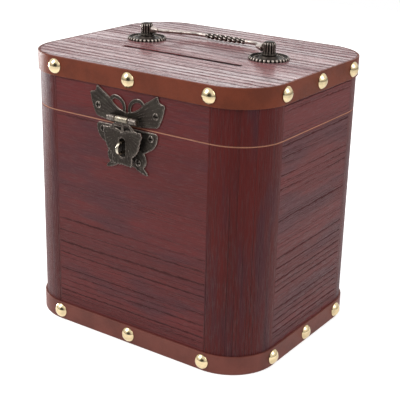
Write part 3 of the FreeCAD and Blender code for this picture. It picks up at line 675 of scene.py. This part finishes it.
def antique_metal(name, dark, bright, gloss):
    """Antique bronze: a dark patina, rubbed bright where the wear attribute is high.

    The bright parts are partly wear and partly painted highlight, and below zero the attribute paints a
    near-black shade.
    """
    material, principled, coordinates = shader(name)
    wear_and_shade = add(material.node_tree, "ShaderNodeAttribute", attribute_type="GEOMETRY", attribute_name="wear_and_shade")
    wear_and_shade = wear_and_shade.outputs["Fac"]
    wear_and_shade_levels = use_group("Worn metal", Vector=coordinates, Wear=wear_and_shade)
    green = (dark[0] * 1.25, dark[1] * 1.32, dark[2] * 1.28)
    base = blend(ramp(wear_and_shade_levels["Patina"], 0.4, 0.7), dark, green)
    base = blend(wear_and_shade_levels["Rubbed"], base, bright)
    # Painted shade: where the attribute falls below zero, in hollows, slots and gaps, the metal turns near
    # black.
    base = blend(ramp(wear_and_shade, -0.1, -0.6), base, shade(dark, 0.15))
    rough = scaled(wear_and_shade_levels["Pits"], 0.3, gloss)
    give(principled, {
        "Base Color": base,
        "Metallic": 1.0,
        "Roughness": scaled(wear_and_shade_levels["Rubbed"], -0.15, rough, clamp=True),
    })
    bump(principled, scaled(wear_and_shade_levels["Patina"], 0.5, wear_and_shade_levels["Pits"]), 0.00007)
    return material


# Settings

def colour_setting(name, description, default):
    """A colour of a setting group."""
    return FloatVectorProperty(name=name, description=description, subtype="COLOR", default=default)


def size_setting(name, description, default):
    """A size in millimetres, the unit in which Blender shows the distances of a camera."""
    return FloatProperty(name=name, description=description, subtype="DISTANCE_CAMERA", default=default)


class MoneyBoxWood(bpy.types.PropertyGroup):
    """Colours and grain of the wood."""

    panel_stain: colour_setting("Panel stain", "Burgundy stain of the flat panels", (0.083, 0.0085, 0.0085))
    corner_stain: colour_setting(
        "Corner stain", "Red-brown stain of the round corners", (0.062, 0.0035, 0.0025)
    )
    top_stain: colour_setting("Top stain", "Burgundy stain of the top board", (0.215, 0.027, 0.030))
    groove_stain: colour_setting(
        "Groove stain", "Dark stain that gathers in the grooves", (0.030, 0.005, 0.005)
    )
    top_groove: colour_setting("Top groove", "Dark red in the top board's grooves", (0.034, 0.005, 0.006))
    bare_wood: colour_setting("Bare wood", "Pale wood at the seam and inside", (0.50, 0.25, 0.16))
    bare_grain: colour_setting("Bare grain", "Darker grain of the bare wood", (0.34, 0.16, 0.09))
    groove_spacing: FloatProperty(
        name="Groove spacing", description="Mean distance between combed grooves", unit="LENGTH",
        default=0.0038,
    )


class MoneyBoxHardware(bpy.types.PropertyGroup):
    """Colours and sizes of the bands and metal pieces."""

    band_tint: colour_setting("Band", "Brown of the leather-look bands", (0.146, 0.029, 0.011))
    # Painted reflection: the band round the foot gets a lighter, pinker copy of the band's brown that stands
    # in for light from the floor.
    foot_band_floor_lit_tint: colour_setting(
        "Foot band", "Redder brown of the band round the foot", (0.156, 0.045, 0.033)
    )
    brass: colour_setting("Brass", "Polished brass of the dome nails", (0.76, 0.61, 0.37))
    bronze: colour_setting("Bronze", "Dark patina of the hasp and the handle", (0.042, 0.034, 0.029))
    rubbed: colour_setting("Rubbed bronze", "Bright metal on rubbed edges", (0.38, 0.325, 0.285))
    # Painted highlight: the bail's rubbed metal is a brighter copy of the rubbed bronze, partly hand wear and
    # partly painted highlight.
    handled_and_highlit: colour_setting("Handled bronze", "Brighter metal where hands rub the bail", (0.54, 0.465, 0.425))
    stud_radius: size_setting("Dome nail radius", "Radius of a nail's head", 4.75)
    stud_rise: size_setting("Dome nail rise", "Height of a nail's dome", 2.7)
    rosette_teeth: IntProperty(name="Rosette teeth", description="Teeth round each rosette", default=30)
    post_flutes: IntProperty(name="Post flutes", description="Flutes round each handle post", default=14)


class MoneyBoxStage(bpy.types.PropertyGroup):
    """The camera and the light."""

    eye: FloatVectorProperty(
        name="Eye", description="Where the camera stands", subtype="TRANSLATION",
        default=(0.3502, -0.5068, 0.3039),
    )
    aim: FloatVectorProperty(
        name="Aim", description="The point the camera looks at", subtype="TRANSLATION",
        default=(0.0030, 0.0007, 0.0758),
    )
    roll: FloatProperty(
        name="Roll", description="Tilt of the camera about its view", subtype="ANGLE",
        default=math.radians(1.43),
    )
    lens: size_setting("Lens", "Focal length on a 36 mm sensor", 89.8)
    key_power: FloatProperty(
        name="Key light", description="Power of the large soft light", subtype="POWER", default=9.0
    )
    world_level: FloatProperty(
        name="World light", description="Brightness of the light from all round", default=0.62
    )


# Operators

class MONEYBOX_OT_groups(bpy.types.Operator):
    """Build the shared shader groups"""

    bl_idname = "money_box.groups"
    bl_label = "Shared shader groups"

    def execute(self, context):
        combed_grain_group()
        skin_depth_group()
        worn_metal_group()
        return {"FINISHED"}


class MONEYBOX_OT_carcass(bpy.types.Operator):
    """Stain the panels, corner posts and boards"""

    bl_idname = "money_box.carcass"
    bl_label = "Carcass"

    def execute(self, context):
        wood = context.scene.money_box_wood
        gap = wood.groove_spacing
        groove = wood.groove_stain
        satin = (0.42, 0.24, 0.0, 0.0)
        along_x = stained_wood(
            "panel along X", "XZY", wood.panel_stain, groove, (0.6, 0.4, gap, 0.85), satin, (0.3, 0.3)
        )
        side_stain, side_groove = shade(wood.panel_stain, 1.1), shade(groove, 1.4)
        dull = (0.42, 0.22, 0.0, 0.0)
        # Painted reflection: the side panels' pale flecks run from full strength at the foot to weak at the
        # top, standing in for the floor's light.
        along_y = stained_wood(
            "panel along Y", "YZX", side_stain, side_groove, (0.68, 0.58, gap, 0.85), dull, (1.0, 0.3)
        )
        turned = (0.46, 0.17, 0.0, 0.2)
        upright = stained_wood(
            "corner upright", "ZCX", wood.corner_stain, groove, (0.5, 0.42, 0.4 * gap, 1.0), turned,
            (0.9, 0.4), cast=1.6,
        )
        lacquer = (0.36, 0.5, 1.0, 0.18)
        lid = stained_wood(
            "top along X", "XYZ", wood.top_stain, wood.top_groove, (0.84, 0.84, 1.7 * gap, 1.5), lacquer,
            (0.6, 0.6), depth=0.0016, bare_below=TOP - 0.0045,
        )
        raw = (0.6, 0.3, 0.0, 0.0)
        floor = stained_wood(
            "bottom board", "XYZ", wood.bare_wood, wood.bare_grain, (0.2, 0.2, gap, 1.0), raw, (0.1, 0.1)
        )
        dress(along_x, "front_panel", "back_panel", "lid_front_rail", "lid_back_rail")
        dress(along_y, "left_panel", "right_panel", "lid_left_rail", "lid_right_rail")
        dress(upright, *[f"{corner}_post" for corner in CORNERS])
        dress(upright, *[f"lid_{corner}_corner" for corner in CORNERS])
        dress(lid, "top_board")
        dress(floor, "bottom_board")
        return {"FINISHED"}


class MONEYBOX_OT_bands(bpy.types.Operator):
    """Dress the bands and set their dome nails"""

    bl_idname = "money_box.bands"
    bl_label = "Bands and dome nails"

    def execute(self, context):
        hardware = context.scene.money_box_hardware
        dress(band_leather("top band leather", hardware.band_tint), "top_band")
        # Painted reflection: the foot band's own tint stands in for light reflected from the floor.
        dress(band_leather("foot band leather", hardware.foot_band_floor_lit_tint), "bottom_band")
        brass = polished_brass("polished brass", hardware.brass)
        head = dome_nail(hardware.stud_radius, hardware.stud_rise)
        for level, body in (("bottom", "box"), ("top", "lid")):
            height = middle_of(f"{level}_band")[2]
            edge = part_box(f"{level}_band")[1]
            ends_x = HALF_WIDTH - CORNER_RADIUS
            ends_y = HALF_DEPTH - CORNER_RADIUS
            seats = []
            for sign in (-1, 1):
                seats += [((x, sign * edge.y, height), (0, sign, 0)) for x in (-ends_x, 0, ends_x)]
            for sign in (-1, 1):
                seats += [((sign * edge.x, y, height), (sign, 0, 0)) for y in (-ends_y, 0, ends_y)]
            heads = [placed(head, *seat) for seat in seats]
            stand_for(f"{level}_dome_nails", heads, body, "stud_brass", brass, f"{level}_band_studs")
        return {"FINISHED"}


class MONEYBOX_OT_hasp(bpy.types.Operator):
    """Build the butterfly hasp with its raised rims, feelers, barrel, flap and staple"""

    bl_idname = "money_box.hasp"
    bl_label = "Butterfly hasp"

    barrel_radius: size_setting("Barrel radius", "Radius of the rolled knuckles", 1.9)
    barrel_half: size_setting("Barrel half length", "From the middle to the barrel's end", 10.7)
    flap_knuckle_half: size_setting("Flap knuckle half length", "From the middle to the knuckle's end", 4.7)

    def knuckle(self, start, end, rise, out):
        """A rolled tube on the barrel's axis with rounded lips, closed by the wall of its bore."""
        radius = self.barrel_radius
        reach = np.array([0.55, 0.55, 0.8, 1, 1, 0.8, 0.55, 0.55]) * radius
        height = np.array([0.9, 0.0, 0.0, 0.25, -0.25, 0, 0, -0.9])
        height[4:] += end - start
        wear_and_shade = [0, 0.3, 0.95, 0.58, 0.58, 0.95, 0.3, 0]
        points, _, wrap_columns, wear_and_shade_levels = lathe(reach, height, 28, wear_and_shade=wear_and_shade)
        turned = np.stack([start + points[..., 2], rise + points[..., 0], out + points[..., 1]], axis=-1)
        return turned, True, wrap_columns, wear_and_shade_levels

    def execute(self, context):
        hardware = context.scene.money_box_hardware
        bronze = antique_metal("antique bronze", hardware.bronze, hardware.rubbed, GLOSS)
        barrel_brass = antique_metal("rubbed barrel", *BARREL)
        pivot = PIVOTS["hasp_flap_hinge"]
        rise = (pivot.z - SEAM) / MM
        out = (FRONT - pivot.y) / MM

        thickness, neck_thickness = 1.0, 0.9
        play = 0.25
        wing_ribs = ribbed(3.0, 1.0, 56, 6, 0.7, 0.07, 4.2, 3)
        flap_ribs = ribbed(-2.0, 0.5, 40, 5, 0.4, 0.11, 4.6, 4)

        def smooth(across, up, edge):
            """A plain face."""
            return 0 * across

        wing = stamped_plate(outline_points(UPPER_WING), UPPER_WING_MIDDLE, thickness, wing_ribs)
        feeler_path = outline_points(FEELER, 14)
        feeler_path = np.column_stack([feeler_path, np.full(len(feeler_path), 0.5)])
        feeler = tube(feeler_path, 1.15, 0.55, (0, 0, 1), 24, crest=lambda turn: 0.95 * np.cos(turn) ** 2)
        half = self.flap_knuckle_half + 2 * play
        ends = ((half, self.barrel_half), (-self.barrel_half, -half))
        knuckles = [self.knuckle(*end, rise, out) for end in ends]
        straps = []
        for side in (-1, 1):
            start = (side * (half + self.barrel_half) / 2, rise + self.barrel_radius - 0.5, 0.3)
            path = np.linspace(start, (*start[:2], out), 10)
            straps.append(tube(path, (self.barrel_half - half) / 2, 0.5, (0, 1, 0), wear_and_shade=0.3))
        parts = [wing, mirrored(wing), feeler, mirrored(feeler)] + knuckles + straps
        parts = [on_front(part, 0) for part in parts]
        stand_for("hasp_upper_wings", parts, "lid", "antique_bronze", bronze, "hasp_upper_plate")

        plate = stamped_plate(whole_outline(LOWER_PLATE), LOWER_PLATE_MIDDLE, thickness, flap_ribs)
        parts = [on_front(plate, 0)]
        stand_for("hasp_lower_wings", parts, "box", "antique_bronze", bronze, "hasp_lower_plate")

        plate = stamped_plate(
            whole_outline(FLAP), FLAP_MIDDLE, thickness, flap_ribs, whole_outline(FLAP_SLOT), columns=360,
            scallop=0.45,
        )
        shoulder = stamped_plate(
            outline_points(NECK), NECK_MIDDLE, neck_thickness, smooth, outline_points(NECK_OPENING),
            columns=120, rows=16,
        )
        parts = [on_front(part, out - thickness / 2) for part in (plate, shoulder, mirrored(shoulder))]
        stand_for("hasp_flap_wings", parts, "hasp_flap", "antique_bronze", bronze, "hasp_flap")
        end = self.flap_knuckle_half - play
        parts = [on_front(self.knuckle(-end, end, rise, out), 0)]
        stand_for("hasp_flap_knuckle", parts, "hasp_flap", "worn_brass", barrel_brass, "hasp_flap")
        dress(polished_brass("staple brass", STAPLE), "hasp_staple", "hasp_pin")

        for name, body, places in (("upper", "lid", UPPER_SCREWS), ("lower", "box", LOWER_SCREWS)):
            heads = []
            for x, z in places:
                for side in (-1, 1):
                    seat = Vector((HASP_MIDDLE + side * x * MM, FRONT - MM, SEAM + z * MM))
                    heads.append(placed(screw_head(*SCREW), seat, (0, -1, 0)))
            stand_for(f"hasp_{name}_screw_heads", heads, body, "screw_bronze", bronze, f"hasp_{name}_screws")
        return {"FINISHED"}


class MONEYBOX_OT_handle(bpy.types.Operator):
    """Build the toothed rosettes, the fluted posts and the bail with its beaded grip"""

    bl_idname = "money_box.handle"
    bl_label = "Handle"

    reach: size_setting("Reach", "From the pivots to the grip", 23.2)
    corner: size_setting("Corner", "Half the distance between the arms' corners", 24.5)
    bend: size_setting("Bend radius", "Radius of the bends beside the grip", 11.0)
    bead: size_setting("Bead radius", "Room kept for the beads over the lid", 2.6)
    wire: size_setting("Wire radius", "Radius of the bail's wire", 1.25)
    carving: size_setting("Carving", "Height of the grip's beads over the wire", 1.0)
    rest_gap: size_setting("Rest gap", "Under the grip as it lies on the lid", 0.3)

    def rosette(self, teeth):
        """A dished washer: its rim swells with the teeth, a ring rises in beads, and a boss stands inside.

        Its profile is a row of radii, heights and wear. Wear below zero paints near-black shade in the dish,
        and the tips' factor, below zero between the teeth, paints shade in the gaps.
        """
        reach, height, wear_and_shade = np.array([
            (0, 0, 0), (12.6, 0, 0.7), (12.6, 0.8, 1.0), (12.4, 1.4, 1.3), (12.0, 1.75, 1.25),
            (11.4, 1.8, 0.4), (10.8, 1.3, -0.4), (10.0, 0.75, -0.3), (9.2, 0.8, 1.0), (8.7, 0.95, 1.3),
            (8.2, 0.8, 1.0), (7.6, 0.65, -0.3), (6.8, 0.6, -0.4), (6.2, 0.7, -0.3), (5.6, 1.3, 0.1),
            (5.2, 2.2, 0.3), (4.6, 2.2, 0.1), (0, 2.2, 0),
        ]).T

        def scallops(turn, rise, radius):
            rim = np.clip((radius - 10.6) / 1.2, 0, 1)
            return -1.1 * rim * (1 - np.abs(np.cos(teeth / 2 * turn)) ** 0.6)

        def beads(turn, rise, radius):
            ring = np.exp(-(((radius - 8.7) / 0.6) ** 2))
            return 0.55 * ring * (np.abs(np.cos(teeth / 2 * turn)) - 0.4)

        # Tooth tips are rubbed bright; between the teeth the factor falls below zero and paints the gaps with
        # shade.
        def tips(turn):
            return 1.35 * np.abs(np.cos(teeth / 2 * turn)) ** 1.5 - 0.35

        return lathe(reach, height, 12 * teeth, scallops, wear_and_shade, tips, beads)

    def post(self, flutes):
        """A fluted column on a moulded foot: its radius swells between the flutes."""
        reach = np.array([0, 4.5, 4.7, 4.5, 4.1, 4.0, 3.95, 3.95, 4.0, 3.95, 3.7, 3.2, 2.2, 0])
        height = np.array([2.2, 2.2, 2.8, 3.4, 3.8, 4.4, 5.5, 7.2, 8.5, 9.1, 9.8, 10.35, 10.7, 10.8])
        # The flutes' crests are rubbed bright, and the cap's values below zero darken it toward near black.
        wear_and_shade = [0, 0.2, 0.4, 0.2, 0.1, 0.6, 0.8, 0.8, 0.8, 0.8, 0.9, 0.5, -0.2, -0.3]

        def ribs(turn, rise, radius):
            shaft = np.clip((rise - 3.4) / 0.6, 0, 1) * np.clip((radius - 2.4) / 1.0, 0, 1)
            return -0.75 * shaft * (1 - np.abs(np.cos(flutes / 2 * turn)))

        def crests(turn):
            return 1.15 * np.abs(np.cos(flutes / 2 * turn)) ** 3 - 0.05

        return lathe(reach, height, 16 * flutes, ribs, wear_and_shade, crests)

    def bail_path(self, hub):
        """The wire's line on the bail's plane: an arm, a bend, the straight grip, a bend and an arm."""
        run = np.array([hub - self.corner, -self.reach])
        length = np.hypot(*run)
        tangent = self.bend * math.tan(math.atan2(self.reach, hub - self.corner) / 2)
        arm_end = np.array([self.corner, self.reach]) + run / length * tangent
        grip_end = np.array([self.corner - tangent, self.reach])
        centre = grip_end - (0, self.bend)
        outward = np.array([self.corner, self.reach]) - centre
        middle = centre + self.bend * outward / np.hypot(tangent, self.bend)
        half = np.vstack([
            np.linspace((hub, 0), arm_end, 26)[:-1],
            arc(arm_end, middle, grip_end, 18)[:-1],
            np.linspace(grip_end, (0, self.reach), 90),
        ])
        return np.vstack([half, half[-2::-1] * (-1, 1)])

    def bail(self, hub):
        """The bail's wire, with leaf-shaped ends by the posts, a collar on each arm and a carved grip.

        Each bead's crown follows a cosine along the grip, cut by notches that twist round it.
        """
        flat = self.bail_path(hub)
        step = np.r_[0, np.cumsum(np.hypot(*np.diff(flat, axis=0).T))]
        from_end = np.minimum(step, step[-1] - step)
        along = step - step[-1] / 2
        leaf = np.exp(-((from_end - 5.0) / 3.0) ** 2)
        collar = np.exp(-((from_end - 18.0) / 0.9) ** 2)
        grip = np.clip((15.5 - np.abs(along)) / 1.5, 0, 1)
        beads = np.abs(np.cos(math.pi * along / 3.4)) ** 0.7
        full = 0.6 + 0.4 * np.cos(np.clip(np.abs(along) / 15.5, 0, 1) * math.pi / 2)
        swell = grip * self.carving * full
        path = np.column_stack([flat, np.zeros(len(flat))])
        wide = self.wire + 1.6 * leaf + 0.6 * collar
        thick = self.wire - 0.15 * leaf + 0.4 * collar
        columns = 40
        wear_and_shade = 0.8 + 0.4 * leaf - 0.45 * grip
        points, wrap_rows, wrap_columns, wear_and_shade_levels = tube(path, wide, thick, (0, 0, 1), columns, wear_and_shade)
        turn = round_angles(columns)
        notch = 0.5 + 0.5 * np.cos(6 * turn[None, :] + 1.1 * along[:, None])
        carved = (swell * beads)[:, None] * (0.35 + 0.65 * notch)
        scale = 1 + carved / self.wire
        points[1:-1] = path[:, None] + (points[1:-1] - path[:, None]) * scale[..., None]
        # The beads' crowns are rubbed bright, partly hand wear and partly painted highlight; the grip is set
        # darker and the hollows between beads fall below zero for painted shade.
        crowns = (grip * beads ** 2)[:, None] * notch ** 2
        hollows = grip[:, None] * (1 - notch * beads[:, None])
        wear_and_shade_levels[1:-1] += 1.5 * crowns - 0.5 * hollows
        return points, wrap_rows, wrap_columns, wear_and_shade_levels

    def hub(self, side, face, trunnion):
        """The flared end of an arm and its trunnion, turned about X."""
        reach = np.array([0, 1.3, 1.5, 2.3, 2.6, 2.4, 1.3, 1.3, 0])
        height = np.array([-4.2, -4.2, -3.4, -1.2, -0.5, 0, 0.05, trunnion, trunnion])
        # The whole hub is rubbed bright: partly wear and partly a painted highlight.
        points, *rest = lathe(reach, height, 28, wear_and_shade=1.2)
        turned = np.stack([side * (face + points[..., 2]), points[..., 0], points[..., 1]], axis=-1)
        return (turned, *rest)

    def execute(self, context):
        hardware = context.scene.money_box_hardware
        bronze = bpy.data.materials["antique bronze"]
        pivot = PIVOTS["handle_swing"]
        for side in ("left", "right"):
            place = Vector((*middle_of(f"{side}_rosette")[:2], TOP))
            disc = placed(self.rosette(hardware.rosette_teeth), place, (0, 0, 1))
            stand_for(f"{side}_toothed_rosette", [disc], "lid", "antique_bronze", bronze, f"{side}_rosette")
            post = placed(self.post(hardware.post_flutes), place, (0, 0, 1))
            stand_for(f"{side}_fluted_post", [post], "lid", "antique_bronze", bronze, f"{side}_handle_post")
        post_room, hub_depth, trunnion = 4.4, 2.1, 2.75
        face = middle_of("right_rosette")[0] / MM - post_room
        drop = (pivot.z - TOP) / MM - self.bead - self.rest_gap
        tilt = np.array(Matrix.Rotation(-math.asin(drop / self.reach), 3, "X"))
        parts = [self.bail(face - hub_depth)] + [self.hub(side, face, trunnion) for side in (-1, 1)]
        laid = [(points * MM @ tilt.T + np.array(pivot), *rest) for points, *rest in parts]
        # The bail's own brighter rubbed metal is partly hand wear and partly painted highlight.
        handled_and_highlit = antique_metal("handled bronze", hardware.bronze, hardware.handled_and_highlit, GLOSS)
        stand_for("beaded_bail", laid, "handle", "antique_bronze", handled_and_highlit, "handle_bail")
        dress(bronze, "handle_screws")
        return {"FINISHED"}


class MONEYBOX_OT_hinges(bpy.types.Operator):
    """Dress the butt hinges and cut the recesses of their screws"""

    bl_idname = "money_box.hinges"
    bl_label = "Hinges"

    def execute(self, context):
        bronze = bpy.data.materials["antique bronze"]
        screw_steps = (-7.0, 7.0)
        dress(bpy.data.materials["rubbed barrel"], "left_hinge_pin", "right_hinge_pin")
        for leaf, body in (("lower", "box"), ("upper", "lid")):
            node = f"hinge_{leaf}_screws"
            height = middle_of(node)[2]
            seats = []
            for side in ("left", "right"):
                plate = f"{side}_hinge_{leaf}_leaf"
                dress(bronze, plate)
                seats += [(middle_of(plate)[0] + step * MM, BACK + MM, height) for step in screw_steps]
            heads = [placed(screw_head(*SCREW), seat, (0, 1, 0)) for seat in seats]
            stand_for(f"hinge_{leaf}_screw_heads", heads, body, "screw_bronze", bronze, node)
        return {"FINISHED"}


class MONEYBOX_OT_stage(bpy.types.Operator):
    """Set the floor, the soft light, the world and the camera"""

    bl_idname = "money_box.stage"
    bl_label = "Stage"

    def floor(self):
        """A wide pale sheet under the box: white to the camera, and bright near the box in reflections."""
        seen_level, mirrored_level = 0.52, 0.38
        near, far = 0.16, 0.42
        reach = np.linspace(-1.2, 1.2, 5)
        across, along = np.meshgrid(reach, reach, indexing="ij")
        points = np.stack([across, along, np.full_like(across, -0.0002)], axis=-1)
        sheet = surface("floor", [(points, False, False, 0.0)])
        material, principled, coordinates = shader("pale floor")
        path = add(material.node_tree, "ShaderNodeLightPath").outputs
        seen = product(path["Is Camera Ray"], seen_level)
        fading = ramp(vector_maths("LENGTH", coordinates), far, near, 0.0, mirrored_level)
        give(principled, {
            "Base Color": (0.9, 0.9, 0.9, 1.0),
            "Roughness": 0.9,
            "Emission Color": (1.0, 1.0, 1.0, 1.0),
            "Emission Strength": maths("MAXIMUM", seen, product(path["Is Glossy Ray"], fading)),
        })
        sheet.data.materials.append(material)

    def soft_light(self, name, place, aim, size, power):
        """A large square lamp that points at a place."""
        lamp = bpy.data.lights.new(name, "AREA")
        lamp.size = size
        lamp.energy = power
        holder = bpy.data.objects.new(name, lamp)
        holder.visible_camera = False
        holder.location = place
        holder.rotation_euler = (Vector(aim) - Vector(place)).to_track_quat("-Z", "Y").to_euler()
        bpy.context.scene.collection.objects.link(holder)

    def world(self, level):
        """White to the camera and a plain light on the box; in reflections a soft horizon, dusky in front."""
        world = bpy.data.worlds.new("studio")
        bpy.context.scene.world = world
        world.use_nodes = True
        tree = world.node_tree
        path = tree.nodes.new("ShaderNodeLightPath").outputs
        direction = tree.nodes.new("ShaderNodeTexCoord").outputs["Generated"]
        sky = ramp(split(direction)["Z"], 0.0, 0.28, 0.4, 1.0)
        toward = vector_maths("DOT_PRODUCT", direction, DUSK)
        sky = product(sky, ramp(toward, 0.80, 0.97, 1.0, 0.05))
        reflected = maths("MAXIMUM", path["Is Glossy Ray"], path["Is Transmission Ray"])
        strength = scaled(reflected, maths("SUBTRACT", sky, level), level)
        unseen = maths("SUBTRACT", 1.0, path["Is Camera Ray"])
        strength = scaled(strength, unseen, path["Is Camera Ray"])
        give(tree.nodes["Background"], {"Strength": strength, "Color": (1, 1, 1, 1)})

    def camera(self, stage):
        """The camera at the photograph's place, looking along its aim and tilted by its roll."""
        data = bpy.data.cameras.new("camera")
        data.lens = stage.lens
        data.sensor_width = 36.0
        data.clip_start = 0.01
        holder = bpy.data.objects.new("camera", data)
        view = (Vector(stage.aim) - Vector(stage.eye)).to_track_quat("-Z", "Y").to_matrix().to_4x4()
        holder.matrix_world = Matrix.Translation(stage.eye) @ view @ Matrix.Rotation(stage.roll, 4, "Z")
        bpy.context.scene.collection.objects.link(holder)
        bpy.context.scene.camera = holder

    def execute(self, context):
        stage = context.scene.money_box_stage
        self.floor()
        for name, (place, aim, size, share) in LAMPS.items():
            self.soft_light(name, place, aim, size, share * stage.key_power)
        self.world(stage.world_level)
        self.camera(stage)
        context.scene.view_settings.view_transform = "Standard"
        return {"FINISHED"}


OPERATORS = (
    MONEYBOX_OT_groups,
    MONEYBOX_OT_carcass,
    MONEYBOX_OT_bands,
    MONEYBOX_OT_hasp,
    MONEYBOX_OT_handle,
    MONEYBOX_OT_hinges,
    MONEYBOX_OT_stage,
)


class MONEYBOX_PT_sidebar(bpy.types.Panel):
    """Lists the pieces of the money box"""

    bl_idname = "MONEYBOX_PT_sidebar"
    bl_label = "Money box"
    bl_space_type = "VIEW_3D"
    bl_region_type = "UI"
    bl_category = "Money box"

    def draw(self, context):
        for operator in OPERATORS:
            self.layout.operator(operator.bl_idname)


SETTINGS = {
    "money_box_wood": MoneyBoxWood,
    "money_box_hardware": MoneyBoxHardware,
    "money_box_stage": MoneyBoxStage,
}


def register():
    for name, settings in SETTINGS.items():
        bpy.utils.register_class(settings)
        setattr(bpy.types.Scene, name, PointerProperty(type=settings))
    for operator in OPERATORS:
        bpy.utils.register_class(operator)
    bpy.utils.register_class(MONEYBOX_PT_sidebar)


def unregister():
    bpy.utils.unregister_class(MONEYBOX_PT_sidebar)
    for operator in reversed(OPERATORS):
        bpy.utils.unregister_class(operator)
    for name, settings in SETTINGS.items():
        delattr(bpy.types.Scene, name)
        bpy.utils.unregister_class(settings)


def main():
    """Build every piece in order."""
    register()
    for operator in OPERATORS:
        family, name = operator.bl_idname.split(".")
        getattr(getattr(bpy.ops, family), name)()


if __name__ == "__main__":
    main()
